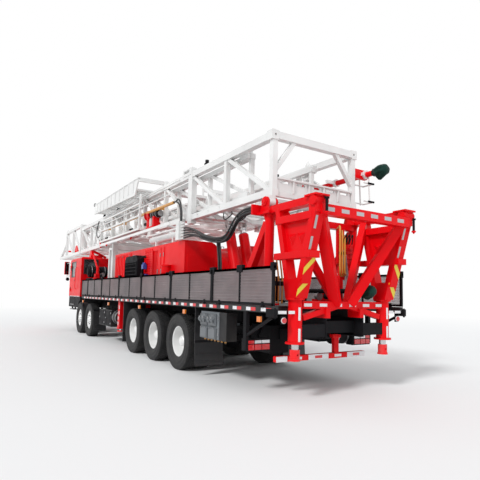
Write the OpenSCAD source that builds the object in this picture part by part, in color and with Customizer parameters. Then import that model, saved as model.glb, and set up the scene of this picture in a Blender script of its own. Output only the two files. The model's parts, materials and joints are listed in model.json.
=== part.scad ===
// Workover rig on a five-axle carrier, parked with its mast laid over the cab.
// X runs forward, Y to the left and Z up. Lengths along X are given from the
// deck's rear end, and datum() then moves the whole rig to its own middle.

/* [Deck] */
// Length of the deck
deck_len = 12530; // [12000:10:13000]
// Width of the deck plates
deck_w = 2934; // [2800:2:2960]
// Rear end of the deck plate, ahead of the jacks
deck_rear = 290; // [280:10:320]
// Height of the deck's top above the ground
deck_top = 1465; // [1440:5:1500]
// Depth of the deck's edge channel
deck_edge_h = 100; // [80:5:110]
// Thickness of the deck plate
deck_plate_t = 12; // [8:1:20]

/* [Walkways] */
// Height of the folded walkway panels
walkway_h = 605; // [500:5:700]
// Thickness of the walkway panels
walkway_t = 40; // [30:1:50]
// Number of panels along each side
walkway_panels = 6; // [4:1:8]

/* [Frame rails] */
// Distance between the outer faces of the rails
rails_w = 860; // [780:10:900]
// Height of a rail
rail_h = 320; // [280:10:340]
// Width of a rail's flanges
rail_flange = 90; // [70:5:100]
// Thickness of a rail's web and flanges
rail_t = 14; // [10:1:20]
// Height of the rails' top above the ground
rail_top = 1280; // [1240:5:1300]
// Distance from the rails' forward end to the cab's front face
rail_short = 200; // [150:10:300]

/* [Wheels and axles] */
// Outer diameter of the tyres
tyre_d = 1200; // [1150:5:1230]
// Width of a tyre
tyre_w = 315; // [280:5:320]
// Gap between the two tyres of a twin wheel
twin_gap = 35; // [20:1:45]
// Distance between the outer faces of the outer tyres
track_outer = 2838; // [2780:2:2860]
// Diameter of the rim's visible dish
rim_d = 610; // [560:5:640]
// Diameter of a wheel hub
hub_d = 260; // [220:5:300]
// Diameter of an axle tube
axle_d = 170; // [140:5:200]
// Distance of a kingpin from the middle plane
kingpin_y = 1010; // [990:5:1020]
// Diameter of a kingpin
kingpin_d = 60; // [50:1:70]

/* [Mast] */
// Rear end of the lower mast section
mast_rear = 715; // [710:5:760]
// Length of the lower mast section
mast_len = 14600; // [14000:50:15000]
// Outer width of the lower mast section
mast_w = 2036; // [1980:2:2060]
// Height of the mast's underside above the ground
mast_bottom = 3340; // [3330:5:3380]
// Depth of the lower mast section
mast_depth = 1150; // [1100:5:1200]
// Side of the lower section's square chords
chord = 130; // [110:5:140]
// Clearance between the sections at the side posts
section_gap = 68; // [60:1:80]
// Side of the upper section's square chords
inner_chord = 105; // [90:5:115]
// Rear end of the upper mast section
inner_rear = 1700; // [1600:10:1900]
// Forward end of the mast's crown
mast_tip = 20330; // [20200:10:20600]
// Length of the crown section at its top
crown_len = 3400; // [3000:50:3600]

/* [Mast pivot] */
// Distance of the pivot from the deck's rear end
pivot_x = 800; // [780:5:820]
// Height of the pivot above the ground
pivot_z = 3230; // [3220:5:3240]
// Diameter of the pivot pins
pivot_pin_d = 90; // [70:1:100]
// Radial clearance of a pin in its bore
pin_play = 0.05; // [0.02:0.01:0.1]

/* [Base frame] */
// Distance of the base frame's side planes from the middle
base_y = 1005; // [990:5:1010]
// Rear-most reach of the rear heads
head_rear = -530; // [-560:5:-520]
// Diameter of the front posts
post_d = 165; // [150:5:200]
// Distance of the rear jacks from the deck's rear end
rear_jack_x = 85; // [60:5:110]
// Outer diameter of the rear jack tubes
rear_jack_d = 220; // [200:5:240]

/* [Raising cylinders] */
// Distance of each cylinder from the middle plane
ram_y = 185; // [180:5:200]
// Place of the cylinder's foot along the rig
ram_foot_x = 2890; // [2860:5:2920]
// Height of the cylinder's foot
ram_foot_z = 1210; // [1190:5:1240]
// Place of the rod's eye along the rig
ram_eye_x = 3560; // [3520:5:3600]
// Height of the rod's eye
ram_eye_z = 3215; // [3200:5:3220]
// Outer diameter of the barrels
ram_d = 240; // [220:2:250]

/* [Cab] */
// Space between the deck and the cab
cab_space = 670; // [600:10:700]
// Length of the cab
cab_len = 2150; // [2100:10:2200]
// Width of the cab
cab_w = 2800; // [2700:10:2860]
// Height of the cab's floor
cab_floor = 1430; // [1420:5:1460]
// Height of the cab's roof
cab_roof = 3030; // [2950:5:3060]
// Thickness of the cab's walls and doors
cab_wall = 60; // [50:2:70]
// Length of a door
door_len = 1050; // [950:10:1150]

/* [Engine house] */
// Rear end of the engine house
house_rear = 5050; // [5000:10:5150]
// Forward end of the engine house
house_front = 9350; // [9200:10:9450]
// Distance of the engine house's sides from the deck's edges
house_inset = 317; // [300:1:360]
// Height of the engine house's roof
house_top = 2860; // [2800:5:2900]

/* [Racking board] */
// Rear end of the folded racking board
board_rear = 6450; // [6400:10:6600]
// Length of the racking board
board_len = 4900; // [4500:50:5200]
// Width across the racking board's wind walls
board_w = 2860; // [2800:10:2900]
// Height of the racking board's wind walls
board_wall_h = 470; // [420:5:500]

/* [Hidden] */
$fn = 48;

// Colours
paint_red = "#e01a1f";
paint_white = "#eeeeea";
steel_black = "#1c1d1f";
steel_grey = "#4a4a4c";
rubber_black = "#17181a";
pipe_yellow = "#d99a2b";
cloth_green = "#12503c";

// The rig's middle, from the deck's rear end
datum_x = (head_rear + mast_tip) / 2;
// Places of the axles from the front, and whether they steer
axle_x = [deck_len + 495, deck_len - 1005, 6576, 5081, 3593];
steered = [true, true, false, false, false];
wheel_r = tyre_d / 2;
twin_w = 2 * tyre_w + twin_gap;
single_y = (track_outer - tyre_w) / 2;
twin_y = (track_outer - twin_w) / 2;
gap = 5;
seat_gap = 0.3;
// Height at which the raised mast's feet stand, and the heads under them
foot_plane_z = pivot_z - pivot_x + mast_rear;
head_z = foot_plane_z - gap;

house_w = deck_w - 2 * house_inset;
cab_rear = deck_len + cab_space;
cab_front = cab_rear + cab_len;
rail_front = cab_front - rail_short;

mast_front = mast_rear + mast_len;
mast_top = mast_bottom + mast_depth;
inner_w = mast_w - 2 * chord - 2 * section_gap;
inner_bottom = mast_bottom + 160;
inner_top = mast_top - 110;
crown_top_front = mast_tip - 1500;
crown_rear = crown_top_front - crown_len;
crown_top = mast_top + 190;

module datum() translate([-datum_x, 0, 0]) children();

module both_sides() {
    children();
    mirror([0, 1, 0]) children();
}

function span(p, q) = norm(q - p);
function turn(p, q) = atan2(q[1] - p[1], q[0] - p[0]);
function climb(p, q) =
    atan2(q[2] - p[2], norm([q[0] - p[0], q[1] - p[1]]));

// Rectangular bar from p to q, w wide and h high
module bar(p, q, w, h) {
    translate(p)
        rotate([0, -climb(p, q), turn(p, q)])
            translate([0, -w / 2, -h / 2])
                cube([span(p, q), w, h]);
}

// Round bar from p to q
module rod(p, q, d) {
    translate(p)
        rotate([0, 90 - climb(p, q), turn(p, q)])
            cylinder(h = span(p, q), d = d);
}

// Round bar along Y, centred on y
module rod_y(x, y, z, len, d)
    translate([x, y, z]) rotate([90, 0, 0])
        cylinder(h = len, d = d, center = true);

// Block between two opposite corners
module block(a, b) translate(a) cube(b - a);

// Plate in the XZ plane with its middle at y
module plate_y(points, y, t)
    translate([0, y + t / 2, 0]) rotate([90, 0, 0])
        linear_extrude(t) polygon(points);

// Plate in the YZ plane with its rear face at x
module plate_x(points, x, t)
    translate([x, 0, 0]) rotate([90, 0, 90])
        linear_extrude(t) polygon(points);

// Carrier

module channel(x0, x1) {
    web_y = rails_w / 2;
    block([x0, web_y - rail_t, rail_top - rail_h], [x1, web_y, rail_top]);
    for (z = [rail_top - rail_h, rail_top - rail_t])
        block([x0, web_y - rail_flange, z], [x1, web_y, z + rail_t]);
}

cross_x = [200, 1700, 2480, 4330, 5830, 7600, 8560, 9200, 10700,
    deck_len - 230, cab_rear + 700, rail_front - 120];
cross_bottom = rail_top - rail_h + 60;
cab_mount_x = [cab_rear + 100, cab_front - 450];

module chassis_frame() color(steel_black) {
    both_sides() {
        channel(0, rail_front);
        // Links to the rear jacks' tubes
        difference() {
            block([rear_jack_x - 70, rails_w / 2 - 10, 985],
                [rear_jack_x + 70, base_y, 1185]);
            translate([rear_jack_x, base_y, 900])
                cylinder(h = 400, d = rear_jack_d);
        }
    }
    for (x = cross_x)
        block([x, -rails_w / 2 + rail_t / 2, cross_bottom],
            [x + 120, rails_w / 2 - rail_t / 2, rail_top - 60]);
    both_sides() for (x = cab_mount_x)
        block([x, rails_w / 2 - rail_flange, rail_top],
            [x + 200, rails_w / 2, cab_floor]);
}

spring_y = rails_w / 2 - rail_flange / 2;

// Leaf spring pack between the axle at x and the rail
module spring(x, len) {
    leaf_z = wheel_r + axle_d / 2;
    for (i = [0 : 3])
        block([x - len / 2 + i * 130, spring_y - 45, leaf_z + i * 22],
            [x + len / 2 - i * 130, spring_y + 45, leaf_z + (i + 1) * 22]);
    for (s = [-1, 1])
        block([x + s * (len / 2 - 50) - 50, spring_y - 40, leaf_z + 10],
            [x + s * (len / 2 - 50) + 50, spring_y + 40,
                rail_top - rail_h]);
}

// Driven twin-wheel axle with its differential
module drive_axle(x) {
    rod_y(x, 0, wheel_r, 2 * (twin_y + 100), axle_d);
    translate([x, 0, wheel_r]) sphere(d = 420);
    rod([x - 330, 0, wheel_r + 60], [x + 330, 0, wheel_r + 60], 150);
}

// Steered axle: a beam with a fork at each end for the knuckle
module steer_axle(x) {
    beam_end = kingpin_y - 130;
    block([x - 70, -beam_end, wheel_r - 90],
        [x + 70, beam_end, wheel_r + axle_d / 2]);
    translate([x, 0, wheel_r - 20]) sphere(d = 340);
    both_sides() {
        block([x - 70, beam_end - 60, wheel_r - 150],
            [x + 70, beam_end, wheel_r + 150]);
        for (z = [wheel_r - 150, wheel_r + 100])
            difference() {
                union() {
                    block([x - 70, beam_end - 30, z],
                        [x + 70, kingpin_y, z + 50]);
                    translate([x, kingpin_y, z]) cylinder(h = 50, d = 140);
                }
                translate([x, kingpin_y, z - 1])
                    cylinder(h = 52, d = kingpin_d + 2 * pin_play);
            }
    }
}

module axles() color(steel_black) {
    for (i = [0 : len(axle_x) - 1])
        if (steered[i]) {
            steer_axle(axle_x[i]);
            both_sides() spring(axle_x[i], 1300);
        } else {
            drive_axle(axle_x[i]);
            both_sides() spring(axle_x[i], 1300);
        }
    rod([axle_x[4] + 330, 0, wheel_r + 60],
        [axle_x[2] - 330, 0, wheel_r + 60], 90);
    rod([axle_x[2] + 330, 0, wheel_r + 60], [8300, 0, 900], 110);
    block([8250, -260, 720], [9000, 260, cross_bottom]);
    rod([9000, 0, 850], [axle_x[1] - 100, 0, wheel_r + 20], 90);
    rod([axle_x[1] + 100, 0, wheel_r], [axle_x[0] - 100, 0, wheel_r], 90);
}

// Knuckle with its kingpin and stub axle, for a left wheel at x
module knuckle(x) color(steel_grey) {
    translate([x, kingpin_y, wheel_r - 149]) cylinder(h = 298, d = kingpin_d);
    translate([x, kingpin_y, wheel_r - 95]) cylinder(h = 190, d = 130);
    rod([x, kingpin_y, wheel_r], [x, single_y + 40, wheel_r], 100);
    block([x - 260, kingpin_y - 40, wheel_r - 90],
        [x, kingpin_y + 20, wheel_r - 60]);
}

// Rolling wheel: a list of [radius, y] points turned about Y
module turned_y(points) rotate([-90, 0, 0]) rotate_extrude($fn = 72)
    polygon(points);

// Tyre outline: bead, sidewall and tread, symmetric about its middle
module tyre_section(y0) {
    half = tyre_w / 2;
    bead_r = rim_d / 2 - 20;
    polygon([[bead_r, y0 - half + 45], [bead_r + 60, y0 - half + 12],
        [bead_r + 150, y0 - half], [wheel_r - 75, y0 - half + 6],
        [wheel_r - 28, y0 - half + 18], [wheel_r, y0 - half + 50],
        [wheel_r, y0 + half - 50], [wheel_r - 28, y0 + half - 18],
        [wheel_r - 75, y0 + half - 6], [bead_r + 150, y0 + half],
        [bead_r + 60, y0 + half - 12], [bead_r, y0 + half - 45]]);
}

// Front wheel centred at its own middle, outer side towards +Y
module single_wheel() {
    half = tyre_w / 2;
    color(rubber_black) rotate([-90, 0, 0]) rotate_extrude($fn = 72)
        tyre_section(0);
    color(paint_white) turned_y([[50 + pin_play, -60],
        [hub_d / 2, -60], [hub_d / 2, 60], [rim_d / 2 - 60, 90],
        [rim_d / 2 - 30, -half + 50], [rim_d / 2, -half + 50],
        [rim_d / 2 - 5, half - 40], [rim_d / 2 - 40, half - 40],
        [rim_d / 2 - 55, 110], [hub_d / 2 - 20, 80], [hub_d / 2 - 25, 150],
        [50 + pin_play, 150]]);
}

// Twin wheel with a deep dish towards +Y
module twin_wheel() {
    y0 = (tyre_w + twin_gap) / 2;
    color(rubber_black) rotate([-90, 0, 0]) rotate_extrude($fn = 72) {
        tyre_section(-y0);
        tyre_section(y0);
    }
    color(paint_white) turned_y([[axle_d / 2 + pin_play, -y0],
        [hub_d / 2, -y0], [hub_d / 2, -20], [rim_d / 2 - 40, -20],
        [rim_d / 2 - 30, -y0 - 100], [rim_d / 2, -y0 - 100],
        [rim_d / 2, y0 + 110], [rim_d / 2 - 40, y0 + 110],
        [rim_d / 2 - 45, 20], [hub_d / 2, 20], [hub_d / 2 - 10, y0 + 60],
        [axle_d / 2 + pin_play, y0 + 60]]);
}

module left_wheel(i) translate([axle_x[i], steered[i] ? single_y : twin_y,
        wheel_r]) {
    if (steered[i]) single_wheel();
    else twin_wheel();
}

// Deck

bearer_x = [for (i = [0 : 12])
    deck_rear + 20 + i * (deck_len - deck_rear - 120) / 12];
well_x = [ram_foot_x - 260, ram_foot_x + 420];

module deck() color(steel_black) {
    edge_z = deck_top - deck_edge_h;
    difference() {
        block([deck_rear, -deck_w / 2, deck_top - deck_plate_t],
            [deck_len, deck_w / 2, deck_top]);
        block([well_x[0], -ram_y - ram_d, deck_top - 100],
            [well_x[1], ram_y + ram_d, deck_top + 100]);
    }
    both_sides() {
        block([0, deck_w / 2 - 70, edge_z], [deck_len, deck_w / 2, deck_top]);
        block([deck_rear, rails_w / 2 - 80, rail_top],
            [deck_len, rails_w / 2, deck_top]);
    }
    for (x = bearer_x)
        both_sides()
            block([x, rails_w / 2 - 60, deck_top - 80],
                [x + 60, deck_w / 2 - 30, deck_top]);
    both_sides() hinge_lugs();
}

// Walkway hinges
hinge_y = deck_w / 2 + 22;
hinge_z = deck_top - 10;
hinge_pin_d = 16;
panel_len = deck_len / walkway_panels;
hinge_x = [for (i = [0 : walkway_panels - 1], s = [0.15, 0.85])
    (i + s) * panel_len];

module hinge_lugs() {
    for (x = hinge_x) {
        for (dx = [-45, 25])
            translate([x + dx, 0, 0]) hinge_lug(20);
        rod([x - 45, hinge_y, hinge_z], [x + 45, hinge_y, hinge_z],
            hinge_pin_d);
    }
}

// Lug from the deck's edge to the hinge pin
module hinge_lug(t) {
    block([0, deck_w / 2 - 5, hinge_z - 12], [t, hinge_y, hinge_z + 12 - 5]);
    rod([0, hinge_y, hinge_z], [t, hinge_y, hinge_z], 26);
}

// Folded walkway of one side, in panels joined by their top rail
module walkway() color(steel_grey) {
    z0 = deck_top + gap;
    z1 = deck_top + gap + walkway_h;
    y1 = hinge_y;
    y0 = hinge_y - walkway_t;
    for (i = [0 : walkway_panels - 1]) {
        x0 = i * panel_len + 12;
        x1 = (i + 1) * panel_len - 12;
        difference() {
            block([x0, y0, z0], [x1, y1, z1]);
            for (s = [0, 1])
                block([x0 + 40 + s * (x1 - x0) / 2, y0 + 16, z0 + 40],
                    [x0 + (x1 - x0) / 2 * (1 + s) - 20, y1 + 1, z1 - 40]);
        }
    }
    block([0, y0, z1 - 40], [deck_len, y1, z1]);
    for (x = hinge_x)
        difference() {
            union() {
                block([x - 20, y0 + 2, z0 - 2], [x + 20, y1 + 8, z0 + 60]);
                rod([x - 20, hinge_y, hinge_z], [x + 20, hinge_y, hinge_z],
                    30);
            }
            rod([x - 30, hinge_y, hinge_z], [x + 30, hinge_y, hinge_z],
                hinge_pin_d + 2 * pin_play);
        }
}

// Side boxes and guards under the deck

box_y = deck_w / 2 - 67;
module side_boxes() {
    color(steel_grey) {
        block([1500, 1180, 790], [2480, box_y, 1300]);
        block([8600, 900, 540], [10050, box_y, 1060]);
        block([8600, -box_y, 540], [10600, -800, 1180]);
    }
    color(steel_black) {
        rod([8150, 1180, 850], [8600, 1180, 850], 440);
        both_sides() for (x = [1600, 2300, 8700, 9900])
            block([x, rails_w / 2, 1000], [x + 60, 1250, 1060]);
    }
}

guard_y = deck_w / 2 - 47;
guard_top = deck_top - deck_edge_h;
module mudguards() color(rubber_black) {
    both_sides() {
        block([2700, 760, 650], [2715, guard_y, guard_top]);
        block([7345, 760, 465], [7365, guard_y, guard_top]);
        block([12250, 900, 1240], [12300, guard_y, guard_top]);
    }
}

module rear_bumper() {
    rails_z = rail_top - rail_h;
    color(paint_red) {
        block([520, -1030, 545], [606, 1030, 638]);
        block([530, -50, 630], [600, 50, rails_z]);
    }
    color(steel_black) block([600, -rails_w / 2, rails_z - 80],
        [690, rails_w / 2, rails_z]);
    color(steel_black) both_sides() {
        block([760, deck_w / 2 - 67, 740], [850, deck_w / 2, guard_top]);
        block([300, 1180, 713], [940, deck_w / 2 - 27, 787]);
    }
}

// Base frame over the well

// Height of the middle of the side frames' top rails, and their depth
frame_rail_h = 120;
frame_rail_z = head_z - 10 - frame_rail_h / 2;
front_post_foot = [pivot_x + 30, base_y, deck_top + 30];
front_post_top = [pivot_x - 10, base_y, pivot_z - 200];
brace_foot = [1700, base_y, deck_top + 110];
jack_top_z = 1593;
// Tapered seat of the side frame on its jack tube
seat_h = 300;
seat_z = jack_top_z + seat_h;
seat_x = rear_jack_x - 40;
pin_ear_gap = 130;
ear_t = 40;
// Where the raised mast's rear feet stand along the rig
foot_x = pivot_x + pivot_z - mast_top;
head_x = foot_x + chord / 2;
rear_post_top = [head_x - 70, base_y, head_z - 60];
rear_post_foot = [seat_x - 145, base_y, seat_z - 60];
inner_post_top = [pivot_x - 315, base_y, frame_rail_z];
inner_post_foot = [seat_x + 155, base_y, seat_z - 60];
beam_z = [1430, 1550];

// Twin ears with round tops that carry the mast's pivot pin
module pivot_ears() {
    ear_r = 88;
    foot_z = pivot_z - 195;
    for (s = [-1, 1])
        plate_y(concat([[pivot_x - 150, foot_z], [pivot_x + 150, foot_z]],
            [for (a = [0 : 15 : 180])
                [pivot_x + ear_r * cos(a), pivot_z + ear_r * sin(a)]],
            [[pivot_x - ear_r, pivot_z - 95]]),
            base_y + s * (pin_ear_gap + ear_t) / 2, ear_t);
    rod_y(pivot_x, base_y, pivot_z, pin_ear_gap + 2 * ear_t + 60,
        pivot_pin_d);
    for (s = [-1, 1])
        rod_y(pivot_x, base_y + s * (pin_ear_gap / 2 + ear_t + 10), pivot_z,
            20, 150);
    // Collar plate on the post, with its gussets
    block([pivot_x - 165, base_y - 140, foot_z - 25],
        [pivot_x + 200, base_y + 140, foot_z + 15]);
    plate_y([[pivot_x - 150, foot_z - 10], [pivot_x - 60, foot_z - 170],
        [pivot_x + 90, foot_z - 170], [pivot_x + 160, foot_z - 10]],
        base_y, 30);
    plate_x([[base_y - 130, foot_z - 10], [base_y - 60, foot_z - 170],
        [base_y + 60, foot_z - 170], [base_y + 130, foot_z - 10]],
        pivot_x - 5, 30);
}

// Pressed panel between the posts of a side frame
panel_z = [2260, 2840];
function post_at(p, q, z) = p[0] + (q[0] - p[0]) * (z - p[2]) / (q[2] - p[2]);
module pressed_panel() {
    rear = [for (z = panel_z) post_at(rear_post_foot, rear_post_top, z)];
    front = [for (z = panel_z) post_at(inner_post_foot, inner_post_top, z)];
    plate_y([[rear[0], panel_z[0]], [front[0], panel_z[0]],
        [front[1], panel_z[1]], [rear[1], panel_z[1]]], base_y, 24);
    // Three-sided dents
    for (x = [rear[0] + 150, front[0] - 150], s = [-1, 1])
        translate([x, base_y + s * 5, panel_z[0] + 280])
            rotate([-s * 90, 0, 0]) rotate([0, 0, s * 90])
                cylinder(h = 60, d1 = 280, d2 = 16, $fn = 3);
}

// Head that the raised mast's rear foot stands on, with its pin boss
module frame_head() {
    block([head_x - 100, base_y - 92, head_z - 270],
        [head_x + 75, base_y + 92, head_z - 20]);
    block([head_rear, base_y - 140, head_z - 28],
        [head_x + 125, base_y + 140, head_z]);
    rod_y(head_x - 45, base_y, head_z - 95, 260, 150);
}

module side_frame() {
    rod(front_post_foot, front_post_top, post_d);
    block([brace_foot[0] - 1010, base_y - 150, deck_top],
        [brace_foot[0] - 700, base_y + 150, deck_top + 30]);
    pivot_ears();
    bar([pivot_x + 40, base_y, 2870], brace_foot, 120, 130);
    block([brace_foot[0] - 120, base_y - 110, deck_top],
        [brace_foot[0] + 150, base_y + 110, deck_top + 110]);
    // Rails, posts and ties of the truss behind the front post
    block([head_x, base_y - 80, frame_rail_z - frame_rail_h / 2],
        [pivot_x - 130, base_y + 80, frame_rail_z + frame_rail_h / 2]);
    bar(rear_post_foot, rear_post_top, 188, 118);
    bar(inner_post_foot, inner_post_top, 172, 104);
    block([rear_post_top[0] + 70, base_y - 100, panel_z[1] - 55],
        [inner_post_top[0] + 10, base_y + 100, panel_z[1] + 60]);
    block([rear_post_foot[0] - 255, base_y - 104, panel_z[0] - 55],
        [inner_post_foot[0] + 325, base_y + 104, panel_z[0] + 50]);
    pressed_panel();
    plate_y([[seat_x - 205, seat_z], [seat_x + 205, seat_z],
        [seat_x + 145, jack_top_z], [seat_x - 110, jack_top_z]],
        base_y, 230);
    frame_head();
}

module base_frame() color(paint_red) {
    both_sides() side_frame();
    // Cross beams: under the heads, under the pivots, between the jacks
    block([head_x - 115, -base_y, 2840], [head_x + 25, base_y, 3000]);
    block([pivot_x - 80, -base_y, 2905], [pivot_x + 60, base_y, 3025]);
    block([rear_jack_x - 60, -base_y + rear_jack_d / 2, beam_z[0]],
        [rear_jack_x + 60, base_y - rear_jack_d / 2, beam_z[1]]);
    both_sides() {
        bar([head_x, base_y - 50, 2940], [rear_jack_x - 20, 160, 1500],
            170, 150);
        bar([inner_post_top[0] - 30, base_y - 60, 2990],
            [rear_jack_x + 10, 120, 1500], 120, 110);
        bar([rear_jack_x, 40, 1500], [rear_jack_x, base_y - 130, 1290],
            100, 90);
        block([0, rails_w / 2 - rail_flange, rail_top],
            [deck_rear - 10, rails_w / 2, beam_z[0] + 10]);
        // Bulkhead that holds the hoses' end
        block([960, base_y + pin_ear_gap / 2, 3010], [1000, 1260, 3190]);
    }
}

// Jacks

mid_jack_x = 7900;
mid_jack_y = 1300;
mid_jack_w = 180;
rear_leg_d = 120;
mid_leg_d = 110;
foot_t = 30;
rear_foot_z = 631;
mid_foot_z = 465;

module jack_tubes() color(paint_red) {
    rear_bore = rear_leg_d + 2 * seat_gap;
    mid_bore = mid_leg_d + 2 * seat_gap;
    both_sides() {
        difference() {
            union() {
                translate([rear_jack_x, base_y, 891])
                    cylinder(h = jack_top_z - 891, d = rear_jack_d);
                for (z = [891, jack_top_z - 30])
                    translate([rear_jack_x, base_y, z])
                        cylinder(h = 30, d = rear_jack_d + 80);
            }
            translate([rear_jack_x, base_y, 880])
                cylinder(h = 660, d = rear_bore);
        }
        difference() {
            union() {
                block([mid_jack_x - mid_jack_w / 2,
                    mid_jack_y - mid_jack_w / 2, 540],
                    [mid_jack_x + mid_jack_w / 2,
                    mid_jack_y + mid_jack_w / 2, deck_top - deck_plate_t]);
                block([mid_jack_x - mid_jack_w / 2 - 15,
                    mid_jack_y - mid_jack_w / 2 - 15, 540],
                    [mid_jack_x + mid_jack_w / 2 + 15,
                    mid_jack_y + mid_jack_w / 2 + 15, 575]);
            }
            translate([mid_jack_x, mid_jack_y, 530])
                cylinder(h = 800, d = mid_bore);
        }
        block([mid_jack_x - 80, rails_w / 2, 1100],
            [mid_jack_x + 80, mid_jack_y - mid_jack_w / 2, 1260]);
    }
}

// Leg with a drilled foot that a pin holds in its pad
module rear_jack_leg() {
    color("#c8c8c8") translate([rear_jack_x, base_y, rear_foot_z + 150])
        cylinder(h = 1520 - rear_foot_z - 150, d = rear_leg_d);
    color(paint_red) translate([rear_jack_x, base_y, rear_foot_z])
        difference() {
            union() {
                cylinder(h = 175, d = rear_leg_d + 40);
                cylinder(h = foot_t, d = rear_leg_d + 60);
            }
            translate([0, 0, 95]) rotate([0, 90, 0])
                cylinder(h = 300, d = 34, center = true);
        }
}

module mid_jack_leg() color("#c8c8c8") {
    translate([mid_jack_x, mid_jack_y, mid_foot_z]) {
        cylinder(h = 1310 - mid_foot_z, d = mid_leg_d);
        cylinder(h = foot_t, d = 230);
    }
}

// Rotary drive shaft at the rear

shaft_y = -550;
shaft_z = 1735;
shaft_end = 190;
module rotary_shaft() color(steel_black) {
    rod([1900, shaft_y, shaft_z], [shaft_end, shaft_y, shaft_z], 90);
    rod([shaft_end + 250, shaft_y, shaft_z], [shaft_end + 20, shaft_y,
        shaft_z], 140);
    for (x = [700, 1700])
        block([x, shaft_y - 70, deck_top], [x + 90, shaft_y + 70, shaft_z]);
}
module shaft_wrap() color(cloth_green)
    rod([shaft_end - seat_gap, shaft_y, shaft_z],
        [shaft_end - 330, shaft_y, shaft_z], 236);

// Cab

door_x = [cab_front - 240 - door_len, cab_front - 240];
door_z = [cab_floor + 80, cab_roof - 90];

// The windscreen leans back above this height
lean_z = cab_floor + 700;
cab_lean = 90;
window_z = [2380, 2900];
function front_at(z) =
    cab_front - cab_lean * max(0, z - lean_z) / (cab_roof - lean_z);

// Side outline of the cab, set in by t, with cut roof corners
function cab_outline(t, cut) = [[cab_rear + t, cab_floor + t],
    [cab_front - t, cab_floor + t], [cab_front - t, lean_z],
    [front_at(cab_roof - t - cut) - t, cab_roof - t - cut],
    [front_at(cab_roof - t) - t - cut, cab_roof - t],
    [cab_rear + t + cut, cab_roof - t], [cab_rear + t, cab_roof - t - cut]];

module cab_shell() color(paint_red) difference() {
    plate_y(cab_outline(0, 50), 0, cab_w);
    plate_y(cab_outline(cab_wall, 5), 0, cab_w - 2 * cab_wall);
    // Sloped edges along the roof's sides
    both_sides() plate_x([[cab_w / 2 - 55, cab_roof + 1],
        [cab_w / 2 + 1, cab_roof + 1], [cab_w / 2 + 1, cab_roof - 55]],
        cab_rear - 1, cab_len + 2);
    // Door openings
    block([door_x[0] - gap, -cab_w, door_z[0] - gap],
        [door_x[1] + gap, cab_w, door_z[1] + gap]);
    // Windscreen
    block([cab_front - 3 * cab_wall, -cab_w / 2 + 120, lean_z],
        [cab_front + 1, cab_w / 2 - 120, cab_roof - 120]);
    // Rear windows
    for (s = [-1, 1])
        block([cab_rear - 1, s * 1020 - 240, window_z[0]],
            [cab_rear + 2 * cab_wall, s * 1020 + 240, window_z[1]]);
}

module cab_glass() color("#8fa0a8") {
    mid = cab_wall / 2;
    top = cab_roof - 120;
    plate_y([[cab_front - mid - 4, lean_z], [cab_front - mid + 4, lean_z],
        [front_at(top) - mid + 4, top], [front_at(top) - mid - 4, top]],
        0, cab_w - 240);
    for (s = [-1, 1])
        block([cab_rear + mid - 4, s * 1020 - 240, window_z[0]],
            [cab_rear + mid + 4, s * 1020 + 240, window_z[1]]);
}

door_hinge_x = door_x[1] - 20;
door_hinge_y = cab_w / 2 + 25;

module door() {
    color(paint_red) {
        difference() {
            block([door_x[0], cab_w / 2 - cab_wall, door_z[0]],
                [door_x[1], cab_w / 2, door_z[1]]);
            block([door_x[0] + 100, cab_w / 2 - 2 * cab_wall, 2250],
                [door_x[1] - 120, cab_w / 2 + 1, door_z[1] - 80]);
        }
        for (z = [door_z[0] + 150, door_z[1] - 300])
            difference() {
                union() {
                    block([door_hinge_x - 60, cab_w / 2 - 2, z],
                        [door_hinge_x, door_hinge_y, z + 60]);
                    translate([door_hinge_x, door_hinge_y, z])
                        cylinder(h = 60, d = 34);
                }
                translate([door_hinge_x, door_hinge_y, z - 1])
                    cylinder(h = 62, d = 16 + 2 * pin_play);
            }
    }
    color("#8fa0a8")
        block([door_x[0] + 100, cab_w / 2 - 34, 2250],
            [door_x[1] - 120, cab_w / 2 - 26, door_z[1] - 80]);
}

module door_hinges() {
    for (z = [door_z[0] + 150, door_z[1] - 300]) {
        translate([door_hinge_x, door_hinge_y, z - 40])
            cylinder(h = 140, d = 16);
        for (dz = [-40, 65]) {
            block([door_hinge_x - 8, cab_w / 2 + gap, z + dz],
                [door_hinge_x + 90, door_hinge_y + 8, z + dz + 35]);
            block([door_x[1] + 8, cab_w / 2 - 2, z + dz],
                [door_hinge_x + 90, door_hinge_y, z + dz + 35]);
        }
    }
}

module cab_interior() color(steel_grey) {
    floor_z = cab_floor + cab_wall;
    block([cab_front - 420, -cab_w / 2 + 110, floor_z + 500],
        [cab_front - cab_wall, cab_w / 2 - 110, floor_z + 640]);
    for (s = [-1, 1]) {
        block([cab_rear + 550, s * 800 - 240, floor_z],
            [cab_rear + 1050, s * 800 + 240, floor_z + 420]);
        block([cab_rear + 450, s * 800 - 240, floor_z + 300],
            [cab_rear + 590, s * 800 + 240, floor_z + 1050]);
    }
    wheel_place = [cab_front - 790, 800, floor_z + 760];
    rod([cab_front - 430, 800, floor_z + 560], wheel_place, 50);
    translate(wheel_place) rotate([0, -60, 0]) cylinder(h = 30, d = 480);
}

skirt_z = 970;
module front_bumper() color(steel_black) difference() {
    union() {
        both_sides() block([cab_rear, rails_w / 2 + 10, skirt_z],
            [cab_front, cab_w / 2 - 20, cab_floor]);
        block([rail_front, -cab_w / 2 + 20, skirt_z],
            [cab_front, cab_w / 2 - 20, cab_floor]);
    }
    rod_y(axle_x[0], 0, wheel_r, 2 * cab_w, tyre_d + 200);
    block([rail_front - 1000, -cab_w / 2 + 120, skirt_z - 1],
        [rail_front - 60, cab_w / 2 - 120, cab_floor + 1]);
}

// Mast supports

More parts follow.
